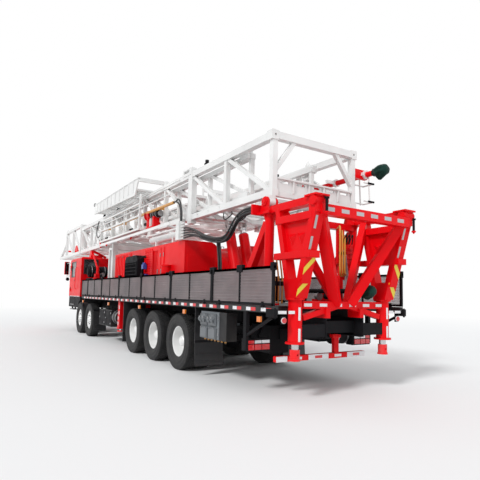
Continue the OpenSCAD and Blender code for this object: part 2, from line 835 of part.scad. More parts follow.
rest_x = deck_len - 2200;
module mast_rest() color(paint_white) {
    both_sides() {
        block([rest_x - 90, 810, deck_top], [rest_x + 90, 990,
            mast_bottom - seat_gap]);
        block([rest_x + 520, 840, deck_top], [rest_x + 620, 940, 3250]);
        bar([rest_x, 900, 3150], [rest_x + 570, 890, 3200], 90, 90);
    }
    block([rest_x - 80, -900, 3140], [rest_x + 80, 900, 3300]);
}

cradle_x = cab_rear + 200;
module mast_cradle() color(paint_red) both_sides() {
    plate_y([[cradle_x - 150, cab_roof], [cradle_x + 350, cab_roof],
        [cradle_x + 120, mast_bottom - seat_gap],
        [cradle_x - 40, mast_bottom - seat_gap]], 950, 90);
}

// Engine house and drives

radiator_x = [house_rear + 1500, house_rear + 2600];
rib_pitch = 160;
louvre_x = [house_rear + 500, house_rear + 830];
louvre_z = [deck_top + 260, house_top - 120];
module engine_house() color(paint_red) {
    y = house_w / 2;
    difference() {
        block([house_rear, -y, deck_top], [house_front, y, house_top]);
        block([house_rear + 60, -y + 60, deck_top - 1],
            [house_front - 60, y - 60, house_top - 60]);
        both_sides() block([louvre_x[0], y - 30, louvre_z[0]],
            [louvre_x[1], y + 1, louvre_z[1]]);
    }
    both_sides() {
        // Slats of the air inlet, then the ribs of the side sheets
        for (x = [louvre_x[0] + 30 : 45 : louvre_x[1] - 30])
            block([x - 9, y - 40, louvre_z[0] - 5],
                [x + 9, y - 6, louvre_z[1] + 5]);
        for (x = [louvre_x[1] + 90 : rib_pitch : house_front - 60])
            if (x < radiator_x[0] - 30 || x > radiator_x[1] + 30)
                block([x - 22, y - 5, deck_top + 60],
                    [x + 22, y + 18, house_top - 50]);
        // Doors beside the inlet
        for (x = [house_rear + 40, house_rear + 270])
            block([x, y - 5, deck_top + 60],
                [x + 200, y + 10, house_top - 60]);
    }
    block([house_rear + 600, -700, house_top - 10],
        [house_front - 500, 700, house_top + 25]);
}

module engine() color(steel_grey)
    block([house_rear + 950, -500, deck_top],
        [house_front - 1050, 500, house_top - 260]);

radiator_y = deck_w / 2 - 117;
module radiator_unit() color(steel_black) both_sides() {
    top = house_top - 190;
    x = radiator_x;
    difference() {
        plate_y([[x[0], deck_top], [x[1], deck_top], [x[1], top - 110],
            [x[1] - 130, top], [x[0] + 130, top], [x[0], top - 110]],
            (house_w / 2 + radiator_y) / 2, radiator_y - house_w / 2);
        block([x[0] + 90, radiator_y - 35, deck_top + 90],
            [x[1] - 90, radiator_y + 1, top - 190]);
    }
    for (gx = [x[0] + 160 : 110 : x[1] - 140])
        block([gx - 10, radiator_y - 40, deck_top + 80],
            [gx + 10, radiator_y - 5, top - 180]);
}

drum_x = 4340;
drum_d = 1240;
drum_z = deck_top + drum_d / 2 + gap;
cover_in = 250;
// Drum between two covers with rounded inner top edges
module drawworks() color(paint_red) {
    r = 250;
    rod_y(drum_x, 0, drum_z, 2 * cover_in + 20, drum_d);
    both_sides() {
        plate_x(concat([[cover_in, deck_top], [house_w / 2, deck_top],
            [house_w / 2, house_top]], [for (a = [90 : 15 : 180])
            [cover_in + r + r * cos(a), house_top - r + r * sin(a)]]),
            drum_x - 440, house_rear - drum_x + 440);
        block([drum_x - 455, cover_in + 160, deck_top + 120],
            [drum_x - 435, house_w / 2 - 70, house_top - 330]);
    }
}

module valve_stand() {
    color(paint_white) {
        block([4000, 1130, house_top], [4180, 1270, 3300]);
        rod([4400, 1030, 3060], [6290, 1030, 3060], 190);
        translate([6290, 1030, 3060]) rotate([0, 90, 0])
            cylinder(h = 60, d1 = 190, d2 = 110);
        for (x = [4700, 5800])
            block([x, 950, house_top], [x + 60, 1110, 3000]);
    }
    color(steel_grey) for (i = [0 : 5])
        rod([3850, 1200, 2890 + i * 70], [4000, 1200, 2890 + i * 70], 50);
}

// Hoses: points chosen by hand along each run
span_points = [[3850, 1200, 2990], [3790, 1200, 2990], [3500, 1190, 2940],
    [3250, 1185, 2850], [3000, 1185, 2775], [2700, 1185, 2725],
    [2400, 1185, 2720], [2150, 1185, 2770], [1950, 1185, 2870],
    [1780, 1185, 2990], [1600, 1183, 3060], [1400, 1180, 3095],
    [1200, 1180, 3105], [1000, 1180, 3105]];
drop_points = [[2380, 1120, 2650], [2370, 1110, 2500], [2350, 1100, 2300],
    [2340, 1100, 2100], [2340, 1100, 1900], [2340, 1100, 1700],
    [2340, 1100, deck_top]];

function along(pts, i) =
    let (a = pts[max(i - 1, 0)], b = pts[min(i + 1, len(pts) - 1)])
    (b - a) / norm(b - a);
function side_of(t) =
    let (s = cross(t, abs(t[2]) > 0.9 ? [1, 0, 0] : [0, 0, 1])) s / norm(s);
function ring(p, t, r, n) =
    let (u = side_of(t), v = cross(u, t))
    [for (k = [0 : n - 1])
        p + r * (cos(360 * k / n) * u + sin(360 * k / n) * v)];

// Round tube swept along a list of points
module sweep(pts, d, n = 8) {
    m = len(pts);
    rings = [for (i = [0 : m - 1]) each ring(pts[i], along(pts, i), d / 2, n)];
    sides = [for (i = [0 : m - 2], k = [0 : n - 1])
        [i * n + k, i * n + (k + 1) % n, (i + 1) * n + (k + 1) % n,
            (i + 1) * n + k]];
    caps = [[for (k = [n - 1 : -1 : 0]) k],
        [for (k = [0 : n - 1]) (m - 1) * n + k]];
    polyhedron(rings, concat(sides, caps));
}

module hose_bundle() color(rubber_black) sweep(span_points, 110);
module hose_drop() color(rubber_black) sweep(drop_points, 110);

// Raising cylinders

ram_foot = [ram_foot_x, 0, ram_foot_z];
ram_eye = [ram_eye_x, 0, ram_eye_z];
ram_len = span(ram_foot, ram_eye);
ram_lean = climb(ram_foot, ram_eye);
ram_pin_d = 70;

// Frame along a cylinder: X runs from its foot to its eye
module along_ram() both_sides()
    translate([ram_foot_x, ram_y, ram_foot_z]) rotate([0, -ram_lean, 0])
        children();

module ram_barrels() color(paint_red) along_ram() difference() {
    union() {
        rod([150, 0, 0], [ram_len - 180, 0, 0], ram_d);
        rod_y(0, 0, 0, 120, 170);
        block([0, -60, -60], [160, 60, 60]);
    }
    rod([190, 0, 0], [ram_len, 0, 0], ram_d - 40);
    rod_y(0, 0, 0, 130, ram_pin_d + 2 * pin_play);
}

module ram_stages() color(steel_grey) along_ram() difference() {
    rod([200, 0, 0], [ram_len - 150, 0, 0], ram_d - 40 - 2 * seat_gap);
    rod([240, 0, 0], [ram_len, 0, 0], ram_d - 90);
}

module ram_rods() color("#c8c8c8") along_ram() difference() {
    union() {
        rod([250, 0, 0], [ram_len - 130, 0, 0], ram_d - 90 - 2 * seat_gap);
        rod_y(ram_len, 0, 0, 90, 150);
        block([ram_len - 150, -45, -50], [ram_len, 45, 50]);
    }
    rod_y(ram_len, 0, 0, 100, 70);
}

// Foot brackets of the cylinders, on a beam between the rails
module ram_seats() {
    block([ram_foot_x - 120, -rails_w / 2 + rail_t / 2, rail_top - rail_h],
        [ram_foot_x + 120, rails_w / 2 - rail_t / 2,
            rail_top - rail_h + 100]);
    both_sides() {
        for (s = [-1, 1])
            block([ram_foot_x - 90, ram_y + s * 75 - 10, 1050],
                [ram_foot_x + 90, ram_y + s * 75 + 10, ram_foot_z + 45]);
        rod_y(ram_foot_x, ram_y, ram_foot_z, 170, ram_pin_d);
    }
}

// Mast

bays = 9;
bay = (mast_len - chord) / bays;
post_x = [for (i = [0 : bays]) mast_rear + chord / 2 + i * bay];
chord_y = mast_w / 2 - chord / 2;
low_z = mast_bottom + chord / 2;
high_z = mast_top - chord / 2;
post_s = 100;
brace_s = 80;

// Joint block at a chord's rear end
corner_block = [[mast_rear, chord_y - chord / 2, mast_top - 150],
    [mast_rear + 170, chord_y + 85, mast_top + 20]];
module mast_side() difference() {
    union() {
        for (z = [low_z, high_z])
            bar([mast_rear, chord_y, z], [mast_front, chord_y, z], chord,
                chord);
        for (x = post_x)
            bar([x, chord_y, low_z], [x, chord_y, high_z], post_s, post_s);
        for (i = [0 : bays - 1])
            bar([post_x[i], chord_y, low_z],
                [post_x[i + 1], chord_y, high_z], brace_s, brace_s);
        block(corner_block[0], corner_block[1]);
        // Stout post with an open box on its top, and a raised post
        block([post_x[2] - 100, chord_y - 60, mast_bottom - 85],
            [post_x[2] + 100, chord_y + 70, mast_top + 20]);
        block([post_x[2] - 60, chord_y - chord / 2, mast_top - 60],
            [post_x[2] + 420, chord_y + 75, mast_top + 110]);
        block([post_x[3] - 50, chord_y - 50, mast_top - 60],
            [post_x[3] + 50, chord_y + 50, mast_top + 110]);
        // Guides for the upper section
        for (z = [[mast_bottom + 100, inner_bottom + inner_chord],
                [inner_top - inner_chord, mast_top - 50]])
            block([mast_front - 350, inner_w / 2 + seat_gap, z[0]],
                [mast_front - 50, chord_y, z[1]]);
    }
    // Blind hole for a lifting pin, and the box's window
    translate([mast_rear - 1, chord_y + 5, high_z]) rotate([0, 90, 0])
        cylinder(h = 90, d = 44);
    block([post_x[2] + 60, chord_y - 100, mast_top + 10],
        [post_x[2] + 360, chord_y + 100, mast_top + 75]);
}

module mast_lower() color(paint_white) both_sides() mast_side();

// Cross members between the lower chords' inner faces
floor_y = chord_y - chord / 2;
module mast_floor() color(paint_white) intersection() {
    union() {
        for (x = post_x)
            block([x - 45, -mast_w, mast_bottom],
                [x + 45, mast_w, mast_bottom + 90]);
        for (i = [0 : bays - 1])
            bar([post_x[i], (i % 2 == 0 ? -1 : 1) * chord_y,
                mast_bottom + 45], [post_x[i + 1],
                (i % 2 == 0 ? 1 : -1) * chord_y, mast_bottom + 45], 80, 80);
        block([ram_eye_x - 120, -mast_w, mast_bottom],
            [ram_eye_x + 120, mast_w, mast_bottom + 90]);
    }
    block([mast_rear, -floor_y, 0], [mast_front, floor_y, mast_top]);
}

// Slotted girder over the mast's rear opening, its top beam and knee braces
module mast_portal() {
    girder_top = mast_bottom + 340;
    difference() {
        union() {
            block([mast_rear + 40, -floor_y, mast_bottom + 90],
                [mast_rear + 64, floor_y, girder_top]);
            block([mast_rear, -floor_y, girder_top - 30],
                [mast_rear + 110, floor_y, girder_top]);
            for (y = [-540 : 360 : 540])
                block([mast_rear + 5, y - 10, mast_bottom + 90],
                    [mast_rear + 60, y + 10, girder_top]);
        }
        for (y = [-720 : 360 : 720])
            block([mast_rear, y - 95, girder_top - 90],
                [mast_rear + 100, y + 95, girder_top - 45]);
    }
    block([mast_rear, -floor_y, mast_top - chord],
        [mast_rear + chord, floor_y, mast_top]);
    intersection() {
        both_sides() bar([mast_rear + 65, chord_y, mast_top - 710],
            [mast_rear + 65, 470, mast_top - 60], 80, 80);
        block([mast_rear, -chord_y + post_s / 2, 0],
            [mast_rear + chord, chord_y - post_s / 2, mast_top]);
    }
}

// Feet, pivot lugs, cylinder ears and portal of the lower section
module mast_base() color(paint_white) {
    both_sides() {
        difference() {
            union() {
                block([mast_rear, base_y - 60, pivot_z],
                    [pivot_x + 60, base_y + 60, mast_bottom]);
                rod_y(pivot_x, base_y, pivot_z, 120, 190);
            }
            rod_y(pivot_x, base_y, pivot_z, 140,
                pivot_pin_d + 2 * pin_play);
        }
        for (s = [-1, 1])
            difference() {
                block([ram_eye_x - 80, ram_y + s * 65 - 12, ram_eye_z - 60],
                    [ram_eye_x + 80, ram_y + s * 65 + 12, mast_bottom]);
                rod_y(ram_eye_x, ram_y + s * 65, ram_eye_z, 60, 70);
            }
    }
    mast_portal();
}

// Catwalk on the mast's left side, and the rail under it further back
module mast_catwalk() color(paint_white) {
    x0 = board_rear - 30;
    x1 = x0 + 4080;
    yi = mast_w / 2;
    yo = 1400;
    posts = 3;
    block([x0, yi, mast_bottom + 20], [x1, yo, mast_bottom + 70]);
    for (i = [0 : posts]) {
        x = x0 + 30 + i * (x1 - x0 - 60) / posts;
        block([x - 20, yo - 40, mast_bottom + 20], [x + 20, yo,
            mast_bottom + 780]);
    }
    for (z = [mast_bottom + 400, mast_bottom + 740])
        block([x0, yo - 40, z], [x1, yo, z + 40]);
    block([x0, yo - 62, mast_bottom + 20], [x0 + 60, yo - 15,
        mast_bottom + 1030]);
    block([x0 - 160, yi, 3180], [x0 + 70, yi + 100, 3700]);
    block([4230, yi + 45, 3180], [x0, yi + 95, 3220]);
    block([4230, yi, 3180], [4290, yi + 60, 3400]);
}

pipe_y = 1300;
pipe_z = 4080;
module standpipe() color(paint_red) {
    rod([post_x[1] + 80, -pipe_y, pipe_z], [520, -pipe_y, pipe_z], 110);
    for (x = [post_x[0], post_x[1]])
        block([x - 40, -pipe_y - 60, pipe_z - 90],
            [x + 40, -chord_y - post_s / 2, pipe_z + 90]);
}
module standpipe_wrap() color(cloth_green)
    rod([519.7, -pipe_y, pipe_z], [180, -pipe_y, pipe_z], 260);

module guide_tube() color(pipe_yellow) {
    rod([4620, 1150, 3850], [11100, 1150, 3875], 76);
    for (i = [3, 5, 6])
        block([post_x[i] - 30, chord_y + post_s / 2, 3830],
            [post_x[i] + 30, 1150, 3900]);
}

// Upper section

inner_bays = 8;
inner_front = crown_rear;
inner_bay = (inner_front - inner_rear - inner_chord) / inner_bays;
inner_post_x = [for (i = [0 : inner_bays])
    inner_rear + inner_chord / 2 + i * inner_bay];
inner_y = inner_w / 2 - inner_chord / 2;

module inner_side() {
    zl = inner_bottom + inner_chord / 2;
    zh = inner_top - inner_chord / 2;
    for (z = [zl, zh])
        bar([inner_rear, inner_y, z], [inner_front, inner_y, z],
            inner_chord, inner_chord);
    for (x = inner_post_x)
        bar([x, inner_y, zl], [x, inner_y, zh], 80, 80);
    for (i = [0 : inner_bays - 1])
        bar([inner_post_x[i], inner_y, zl], [inner_post_x[i + 1], inner_y, zh],
            70, 70);
    // Guide shoes against the lower section's chords
    for (z = [[mast_bottom + 100, inner_bottom + inner_chord],
            [inner_top - inner_chord, mast_top - 50]])
        block([inner_rear + 20, inner_y, z[0]], [inner_rear + 320,
            mast_w / 2 - chord - seat_gap, z[1]]);
}

// Side trusses of the upper section and of its crown
module mast_upper() color(paint_white) both_sides() {
    inner_side();
    crown_side();
}

// Cross members between the upper chords' inner faces, the frame where the
// section widens into its crown, and the racking board's ears and pins
module upper_floor() color(paint_white) {
    face_y = inner_w / 2 - inner_chord;
    intersection() {
        union() {
            for (x = inner_post_x)
                block([x - 35, -inner_y, inner_bottom],
                    [x + 35, inner_y, inner_bottom + 70]);
            for (i = [0 : inner_bays - 1])
                bar([inner_post_x[i], (i % 2 == 0 ? -1 : 1) * inner_y,
                    inner_bottom + 35], [inner_post_x[i + 1],
                    (i % 2 == 0 ? 1 : -1) * inner_y, inner_bottom + 35],
                    60, 60);
        }
        block([inner_rear, -face_y, 0], [inner_front, face_y, mast_top]);
    }
    both_sides() {
        block([crown_rear, face_y, mast_bottom],
            [crown_rear + step_t, mast_w / 2, crown_top]);
        block([board_pin_x - 50, board_mid_y + 8, inner_top - 60],
            [board_pin_x + 50, face_y, board_pin_z + 45]);
        rod_y(board_pin_x, board_mid_y - 3, board_pin_z, 50, board_pin_d);
    }
    block([crown_rear, -face_y - 10, mast_bottom],
        [crown_rear + step_t, face_y + 10, mast_bottom + 100]);
    crown_in = crown_y - 60;
    for (x = [crown_posts[1], crown_posts[2]])
        block([x - 50, -crown_in, mast_bottom],
            [x + 50, crown_in, mast_bottom + 100]);
    block([mast_tip - 120, -crown_in, mast_bottom],
        [mast_tip, crown_in, mast_bottom + 120]);
}

nose_high = [crown_top_front - 60, 0, 4100];
nose_low = [mast_tip - 60, 0, mast_bottom + 80];
// Crown axle, where it meets the nose's sloping bars
crown_axle_x = mast_tip - 800;
crown_axle_z = nose_high[2] + (nose_low[2] - nose_high[2])
    * (crown_axle_x - nose_high[0]) / (nose_low[0] - nose_high[0]);
// Thickness of the frame behind the crown's sides
step_t = 90;
crown_y = mast_w / 2 - 60;
crown_posts = [for (i = [0 : 2]) crown_rear + step_t + 60 + i *
    (crown_len - step_t - 120) / 2];
module crown_side() {
    x0 = crown_rear + step_t;
    y = crown_y;
    z0 = mast_bottom + 60;
    bar([x0, y, z0], [mast_tip, y, z0], 120, 120);
    bar([x0, y, crown_top - 60], [crown_top_front, y, crown_top - 60],
        120, 120);
    for (x = crown_posts)
        bar([x, y, z0], [x, y, crown_top - 60], 110, 110);
    for (i = [0 : 1])
        bar([crown_posts[i], y, z0], [crown_posts[i + 1], y, crown_top - 60],
            80, 80);
    bar(nose_high + [0, y, 0], nose_low + [0, y, 0], 100, 100);
    difference() {
        block([crown_top_front - 200, y - 20, crown_top - 10],
            [crown_top_front, y + 20, crown_top + 90]);
        rod_y(crown_top_front - 100, y, crown_top + 45, 50, 40);
    }
}

module crown_block() color(paint_red) {
    for (i = [-2 : 2])
        rod_y(crown_axle_x, i * 160, crown_axle_z, 70, 700);
    rod_y(crown_axle_x, 0, crown_axle_z, mast_w - 120 - 100, 90);
}

// Racking board, folded on top of the mast
board_z = mast_top + 60;
board_pin_x = board_rear + 60;
board_pin_z = board_z + 10;
board_pin_d = 50;
// Half width of the board's middle block between its ears
board_mid_y = 668;
board_wall_z = mast_top - 110;
module racking_board() color(paint_white) {
    y = board_w / 2;
    x1 = board_rear + board_len;
    top = board_wall_z + board_wall_h;
    both_sides() {
        // Tapered wind wall with ribs
        plate_y([[board_rear + 330, board_wall_z],
            [x1, board_wall_z + 110], [x1, top], [board_rear + 40, top]],
            y - 15, 30);
        for (x = [board_rear + 480 : 450 : x1 - 60])
            block([x - 25, y - 20, board_wall_z + 100],
                [x + 25, y + 15, top]);
        block([board_rear + 40, y - 40, top - 30], [x1, y + 15, top]);
        // Floor beams, end frame and fingers
        block([board_rear + 120, 600, board_z - 30],
            [x1, 670, board_z + 30]);
        block([board_rear + 300, y - 110, board_z - 30],
            [x1, y - 20, board_z + 30]);
        for (x = [board_rear + 300 : 1130 : x1])
            block([x - 30, 600, board_z - 25], [x + 30, y - 20,
                board_z + 25]);
        for (fy = [735 : 85 : y - 150])
            block([board_rear + 300, fy - 18, board_z - 10],
                [x1 - 50, fy + 18, board_z + 22]);
        block([board_rear + 50, 585, top - 110],
            [board_rear + 110, y - 10, top]);
    }
    block([x1 - 90, -650, board_z - 30], [x1, 650, board_z + 30]);
    difference() {
        union() {
            block([board_rear, -board_mid_y, board_z - 30],
                [board_rear + 300, board_mid_y, board_z + 30]);
            block([board_rear, -board_mid_y, board_z - 30],
                [board_rear + 160, board_mid_y, board_z + 50]);
            both_sides() block([board_rear + 50, 585, board_z - 30],
                [board_rear + 100, 630, top]);
        }
        rod_y(board_pin_x, 0, board_pin_z, 1400,
            board_pin_d + 2 * pin_play);
    }
}

// A left part's copy for the right side
module right_side() mirror([0, 1, 0]) children();

datum() {
    chassis_frame();
    color(steel_black) ram_seats();
}
datum() axles();
datum() deck();
datum() side_boxes();
datum() mudguards();
datum() rear_bumper();
datum() base_frame();
datum() rotary_shaft();
datum() shaft_wrap();
datum() jack_tubes();
datum() {
    cab_shell();
    color(paint_red) both_sides() door_hinges();
}
datum() cab_interior();
datum() cab_glass();
datum() front_bumper();
datum() mast_rest();
datum() mast_cradle();
datum() engine_house();
datum() engine();
datum() radiator_unit();
datum() drawworks();
datum() valve_stand();
datum() hose_bundle();
datum() hose_drop();
datum() door();  // cab_door_left
datum() right_side() door();  // cab_door_right
datum() rear_jack_leg();  // jack_leg_rear_left
datum() right_side() rear_jack_leg();  // jack_leg_rear_right
datum() mid_jack_leg();  // jack_leg_mid_left
datum() right_side() mid_jack_leg();  // jack_leg_mid_right
datum() walkway();  // walkway_left
datum() right_side() walkway();  // walkway_right
datum() ram_barrels();
datum() ram_stages();
datum() ram_rods();
datum() mast_lower();
datum() mast_floor();
datum() mast_base();
datum() mast_catwalk();
datum() standpipe();
datum() standpipe_wrap();
datum() guide_tube();
datum() mast_upper();
datum() upper_floor();
datum() crown_block();
datum() racking_board();
datum() knuckle(axle_x[0]);  // knuckle_1_left
datum() right_side() knuckle(axle_x[0]);  // knuckle_1_right
datum() knuckle(axle_x[1]);  // knuckle_2_left
datum() right_side() knuckle(axle_x[1]);  // knuckle_2_right
datum() left_wheel(0);  // wheel_1_left
datum() right_side() left_wheel(0);  // wheel_1_right
datum() left_wheel(1);  // wheel_2_left
datum() right_side() left_wheel(1);  // wheel_2_right
datum() left_wheel(2);  // wheel_3_left
datum() right_side() left_wheel(2);  // wheel_3_right
datum() left_wheel(3);  // wheel_4_left
datum() right_side() left_wheel(3);  // wheel_4_right
datum() left_wheel(4);  // wheel_5_left
datum() right_side() left_wheel(4);  // wheel_5_right
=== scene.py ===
"""Workover rig: finishes, wheels, mesh walkways, hoses, cloth, lamps and small fittings."""

import json
import math

import bmesh
import bpy
from mathutils import Matrix, Vector


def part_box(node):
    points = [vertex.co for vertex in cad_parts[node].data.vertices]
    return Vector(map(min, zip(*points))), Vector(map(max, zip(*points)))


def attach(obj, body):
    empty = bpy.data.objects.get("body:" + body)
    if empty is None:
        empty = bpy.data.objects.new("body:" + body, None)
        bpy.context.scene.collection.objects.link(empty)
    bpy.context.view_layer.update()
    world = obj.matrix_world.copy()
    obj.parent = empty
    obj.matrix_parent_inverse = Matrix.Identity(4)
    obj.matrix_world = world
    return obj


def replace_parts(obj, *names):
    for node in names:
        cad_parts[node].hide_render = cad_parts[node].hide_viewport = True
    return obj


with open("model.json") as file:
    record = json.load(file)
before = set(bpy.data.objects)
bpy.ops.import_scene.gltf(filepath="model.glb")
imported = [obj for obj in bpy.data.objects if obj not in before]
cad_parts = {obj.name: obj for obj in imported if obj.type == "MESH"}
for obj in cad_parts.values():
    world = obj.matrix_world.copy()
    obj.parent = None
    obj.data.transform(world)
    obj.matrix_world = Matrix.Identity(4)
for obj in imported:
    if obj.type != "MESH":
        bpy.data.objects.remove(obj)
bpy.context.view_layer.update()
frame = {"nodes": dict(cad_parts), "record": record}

# Driving places and sizes, in metres
DECK_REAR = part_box("deck")[0].x
DECK_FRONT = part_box("deck")[1].x
DECK_TOP = 1.465
DECK_HALF_W = 1.467
PHOTO_SIZE = 480
AXLES_X = {1: 13.025, 2: 11.525, 3: 6.576, 4: 5.081, 5: 3.593}
STEERED = (1, 2)
WHEEL_R = 0.6
TYRE_W = 0.315
TWIN_GAP = 0.035
RIM_R = 0.345
SINGLE_Y = 1.2615
TWIN_Y = 1.0865
SIDES = {"left": 1, "right": -1}
LEFT, BOTH = (1,), (1, -1)


def at(x, y, z):
    """A point given by its distance forward of the deck's rear end."""
    return Vector((DECK_REAR + x, y, z))


# Camera


def make_camera():
    """The photograph's own view: a low stand behind the rig, off its left corner."""
    stand = at(-5.242, 5.364, 1.623)
    yaw, pitch, roll = (math.radians(a) for a in (32.476, 5.009, 1.245))
    focal_px, centre_u, centre_v = 437.416, 243.596, 256.74
    level = math.cos(pitch)
    ahead = Vector((math.cos(yaw) * level, -math.sin(yaw) * level, math.sin(pitch)))
    right = Vector((-math.sin(yaw), -math.cos(yaw), 0))
    up = right.cross(ahead)
    tilted_right = math.cos(roll) * right + math.sin(roll) * up
    tilted_up = math.cos(roll) * up - math.sin(roll) * right
    data = bpy.data.cameras.new("camera")
    data.sensor_width = 36
    data.lens = data.sensor_width * focal_px / PHOTO_SIZE
    data.shift_x = (PHOTO_SIZE / 2 - centre_u) / PHOTO_SIZE
    data.shift_y = (centre_v - PHOTO_SIZE / 2) / PHOTO_SIZE
    data.clip_end = 400
    camera = bpy.data.objects.new("camera", data)
    turn = Matrix((tilted_right, tilted_up, -ahead)).transposed()
    camera.matrix_world = Matrix.Translation(stand) @ turn.to_4x4()
    bpy.context.scene.collection.objects.link(camera)
    bpy.context.scene.camera = camera


# Finishes


def feed(tree, socket, source):
    """Links an input to another node's output, or sets its own number or colour."""
    if isinstance(source, bpy.types.NodeSocket):
        tree.links.new(source, socket)
    else:
        socket.default_value = source


def add_node(tree, kind, inputs=None, **settings):
    made = tree.nodes.new(kind)
    for key, value in settings.items():
        setattr(made, key, value)
    for key, source in (inputs or {}).items():
        feed(tree, made.inputs[key], source)
    return made


def rgba(colour, share=1.0):
    return (*(c * share for c in colour), 1)


class Finish:
    """A node material in the making. Its methods add one pattern each and give its output."""

    def __init__(self, name, colour, roughness, metallic=0.0, coat=0.0):
        self.material = bpy.data.materials.new(name)
        self.material.use_nodes = True
        self.tree = self.material.node_tree
        self.shader = self.tree.nodes["Principled BSDF"]
        self.rounded = None
        self.place = self.node("ShaderNodeTexCoord").outputs["Object"]
        self.done(rgba(colour), roughness)
        self.dress({"Metallic": metallic, "Coat Weight": coat, "Coat Roughness": 0.06})

    def node(self, kind, inputs=None, **settings):
        return add_node(self.tree, kind, inputs, **settings)

    def dress(self, inputs):
        """Sets or links inputs of the shader itself."""
        for key, source in inputs.items():
            feed(self.tree, self.shader.inputs[key], source)
        return self.material

    def noise(self, scale, detail=3.0, roughness=0.55):
        inputs = {"Vector": self.place, "Scale": scale, "Detail": detail, "Roughness": roughness}
        return self.node("ShaderNodeTexNoise", inputs).outputs["Fac"]

    def cells(self, scale):
        inputs = {"Vector": self.place, "Scale": scale}
        made = self.node("ShaderNodeTexVoronoi", inputs, feature="DISTANCE_TO_EDGE")
        return made.outputs["Distance"]

    def wave(self, scale, direction="Z", place=None):
        inputs = {"Vector": place or self.place, "Scale": scale}
        return self.node("ShaderNodeTexWave", inputs, bands_direction=direction).outputs["Fac"]

    def spread(self, value, low, high, out_low=0.0, out_high=1.0):
        inputs = {"Value": value, "From Min": low, "From Max": high}
        inputs.update({"To Min": out_low, "To Max": out_high})
        return self.node("ShaderNodeMapRange", inputs, clamp=True).outputs["Result"]

    def maths(self, operation, a, b):
        return self.node("ShaderNodeMath", {0: a, 1: b}, operation=operation).outputs[0]

    def times(self, a, b):
        return self.maths("MULTIPLY", a, b)

    def mix(self, factor, a, b):
        return self.node("ShaderNodeMix", {0: factor, 6: a, 7: b}, data_type="RGBA").outputs[2]

    def distance(self, axis):
        return self.node("ShaderNodeSeparateXYZ", {0: self.place}).outputs[axis]

    def edges(self, radius):
        """How near a sharp edge a point is, from how far a rounded normal turns there."""
        self.rounded = self.node("ShaderNodeBevel", {"Radius": radius}, samples=4).outputs[0]
        plain = self.node("ShaderNodeNewGeometry").outputs["Normal"]
        inputs = {0: self.rounded, 1: plain}
        agree = self.node("ShaderNodeVectorMath", inputs, operation="DOT_PRODUCT")
        return self.spread(agree.outputs["Value"], 0.999, 0.85)

    def bump(self, height, distance, strength):
        inputs = {"Height": height, "Distance": distance, "Strength": strength}
        if self.rounded:
            inputs["Normal"] = self.rounded
        self.dress({"Normal": self.node("ShaderNodeBump", inputs).outputs[0]})

    def done(self, colour, roughness):
        return self.dress({"Base Color": colour, "Roughness": roughness})


ROAD_DUST = (0.24, 0.21, 0.18, 1)
BARE_CHIP = (0.30, 0.29, 0.28, 1)
# Road dust thins out between these heights
DUSTY_Z, CLEAN_Z = 0.3, 1.5


def enamel(name, colour, gloss=0.3, dust=0.35, wear=0.25, coat=0.35, shine=0.5, second=None):
    """Sprayed enamel: faint shade drift, orange peel, chipped edges, road dust low down.

    second is another colour and the test of where the piece has it.
    """
    f = Finish(name, colour, gloss, coat=coat)
    f.dress({"Specular IOR Level": shine})
    shade = f.mix(f.spread(f.noise(1.3, 2), 0.3, 0.7), rgba(colour, 0.86), rgba(colour))
    if second:
        shade = f.mix(second[1](f), shade, rgba(second[0]))
    streaks = f.spread(f.noise(5, 5, 0.6), 0.56, 0.78, 0, 0.30)
    shade = f.mix(f.times(streaks, dust), shade, ROAD_DUST)
    low = f.spread(f.distance("Z"), CLEAN_Z, DUSTY_Z)
    film = f.times(f.times(low, f.spread(f.noise(3.5, 4), 0.25, 0.75)), dust)
    shade = f.mix(film, shade, ROAD_DUST)
    chips = f.times(f.edges(0.006), f.spread(f.noise(55, 4, 0.7), 0.56, 0.62))
    shade = f.mix(f.times(chips, wear), shade, BARE_CHIP)
    peel = f.spread(f.noise(6, 4), 0.2, 0.8, gloss * 0.8, gloss * 1.35)
    f.bump(f.noise(240, 2), 0.0004, 0.5)
    return f.done(shade, f.maths("ADD", peel, film))


def beside_sockets(f):
    """Where the side boxes are black: ahead of the grey socket panel and behind it."""
    x = f.distance("X")
    return f.maths("MAXIMUM", f.spread(x, -6.9, -6.8), f.spread(x, -8.150, -8.155))


def bare_metal(name, colour, roughness):
    f = Finish(name, colour, roughness, metallic=1.0)
    smear = f.spread(f.noise(9, 5, 0.7), 0.3, 0.75)
    f.edges(0.002)
    f.bump(f.noise(180, 2), 0.0003, 0.4)
    shade = f.mix(smear, rgba(colour, 0.7), rgba(colour))
    return f.done(shade, f.spread(smear, 0, 1, roughness * 1.5, roughness))


def rubber(name, colour, roughness, dust):
    f = Finish(name, colour, roughness)
    film = f.spread(f.noise(7, 5, 0.65), 0.45, 0.8, 0, dust)
    f.bump(f.noise(320, 2), 0.0006, 0.5)
    return f.done(f.mix(film, rgba(colour), ROAD_DUST), f.spread(film, 0, 1, roughness, 0.95))


def tarpaulin(name, colour):
    """Coated cloth: a woven ground, faded folds and a soft sheen."""
    f = Finish(name, colour, 0.62)
    f.dress({"Sheen Weight": 0.05, "Specular IOR Level": 0.15})
    faded = f.spread(f.noise(11, 5, 0.65), 0.35, 0.75)
    f.bump(f.times(f.wave(420, "X"), f.wave(420, "Z")), 0.0008, 0.7)
    shade = f.mix(faded, rgba(colour, 0.55), rgba(colour))
    return f.done(shade, f.spread(faded, 0, 1, 0.5, 0.75))


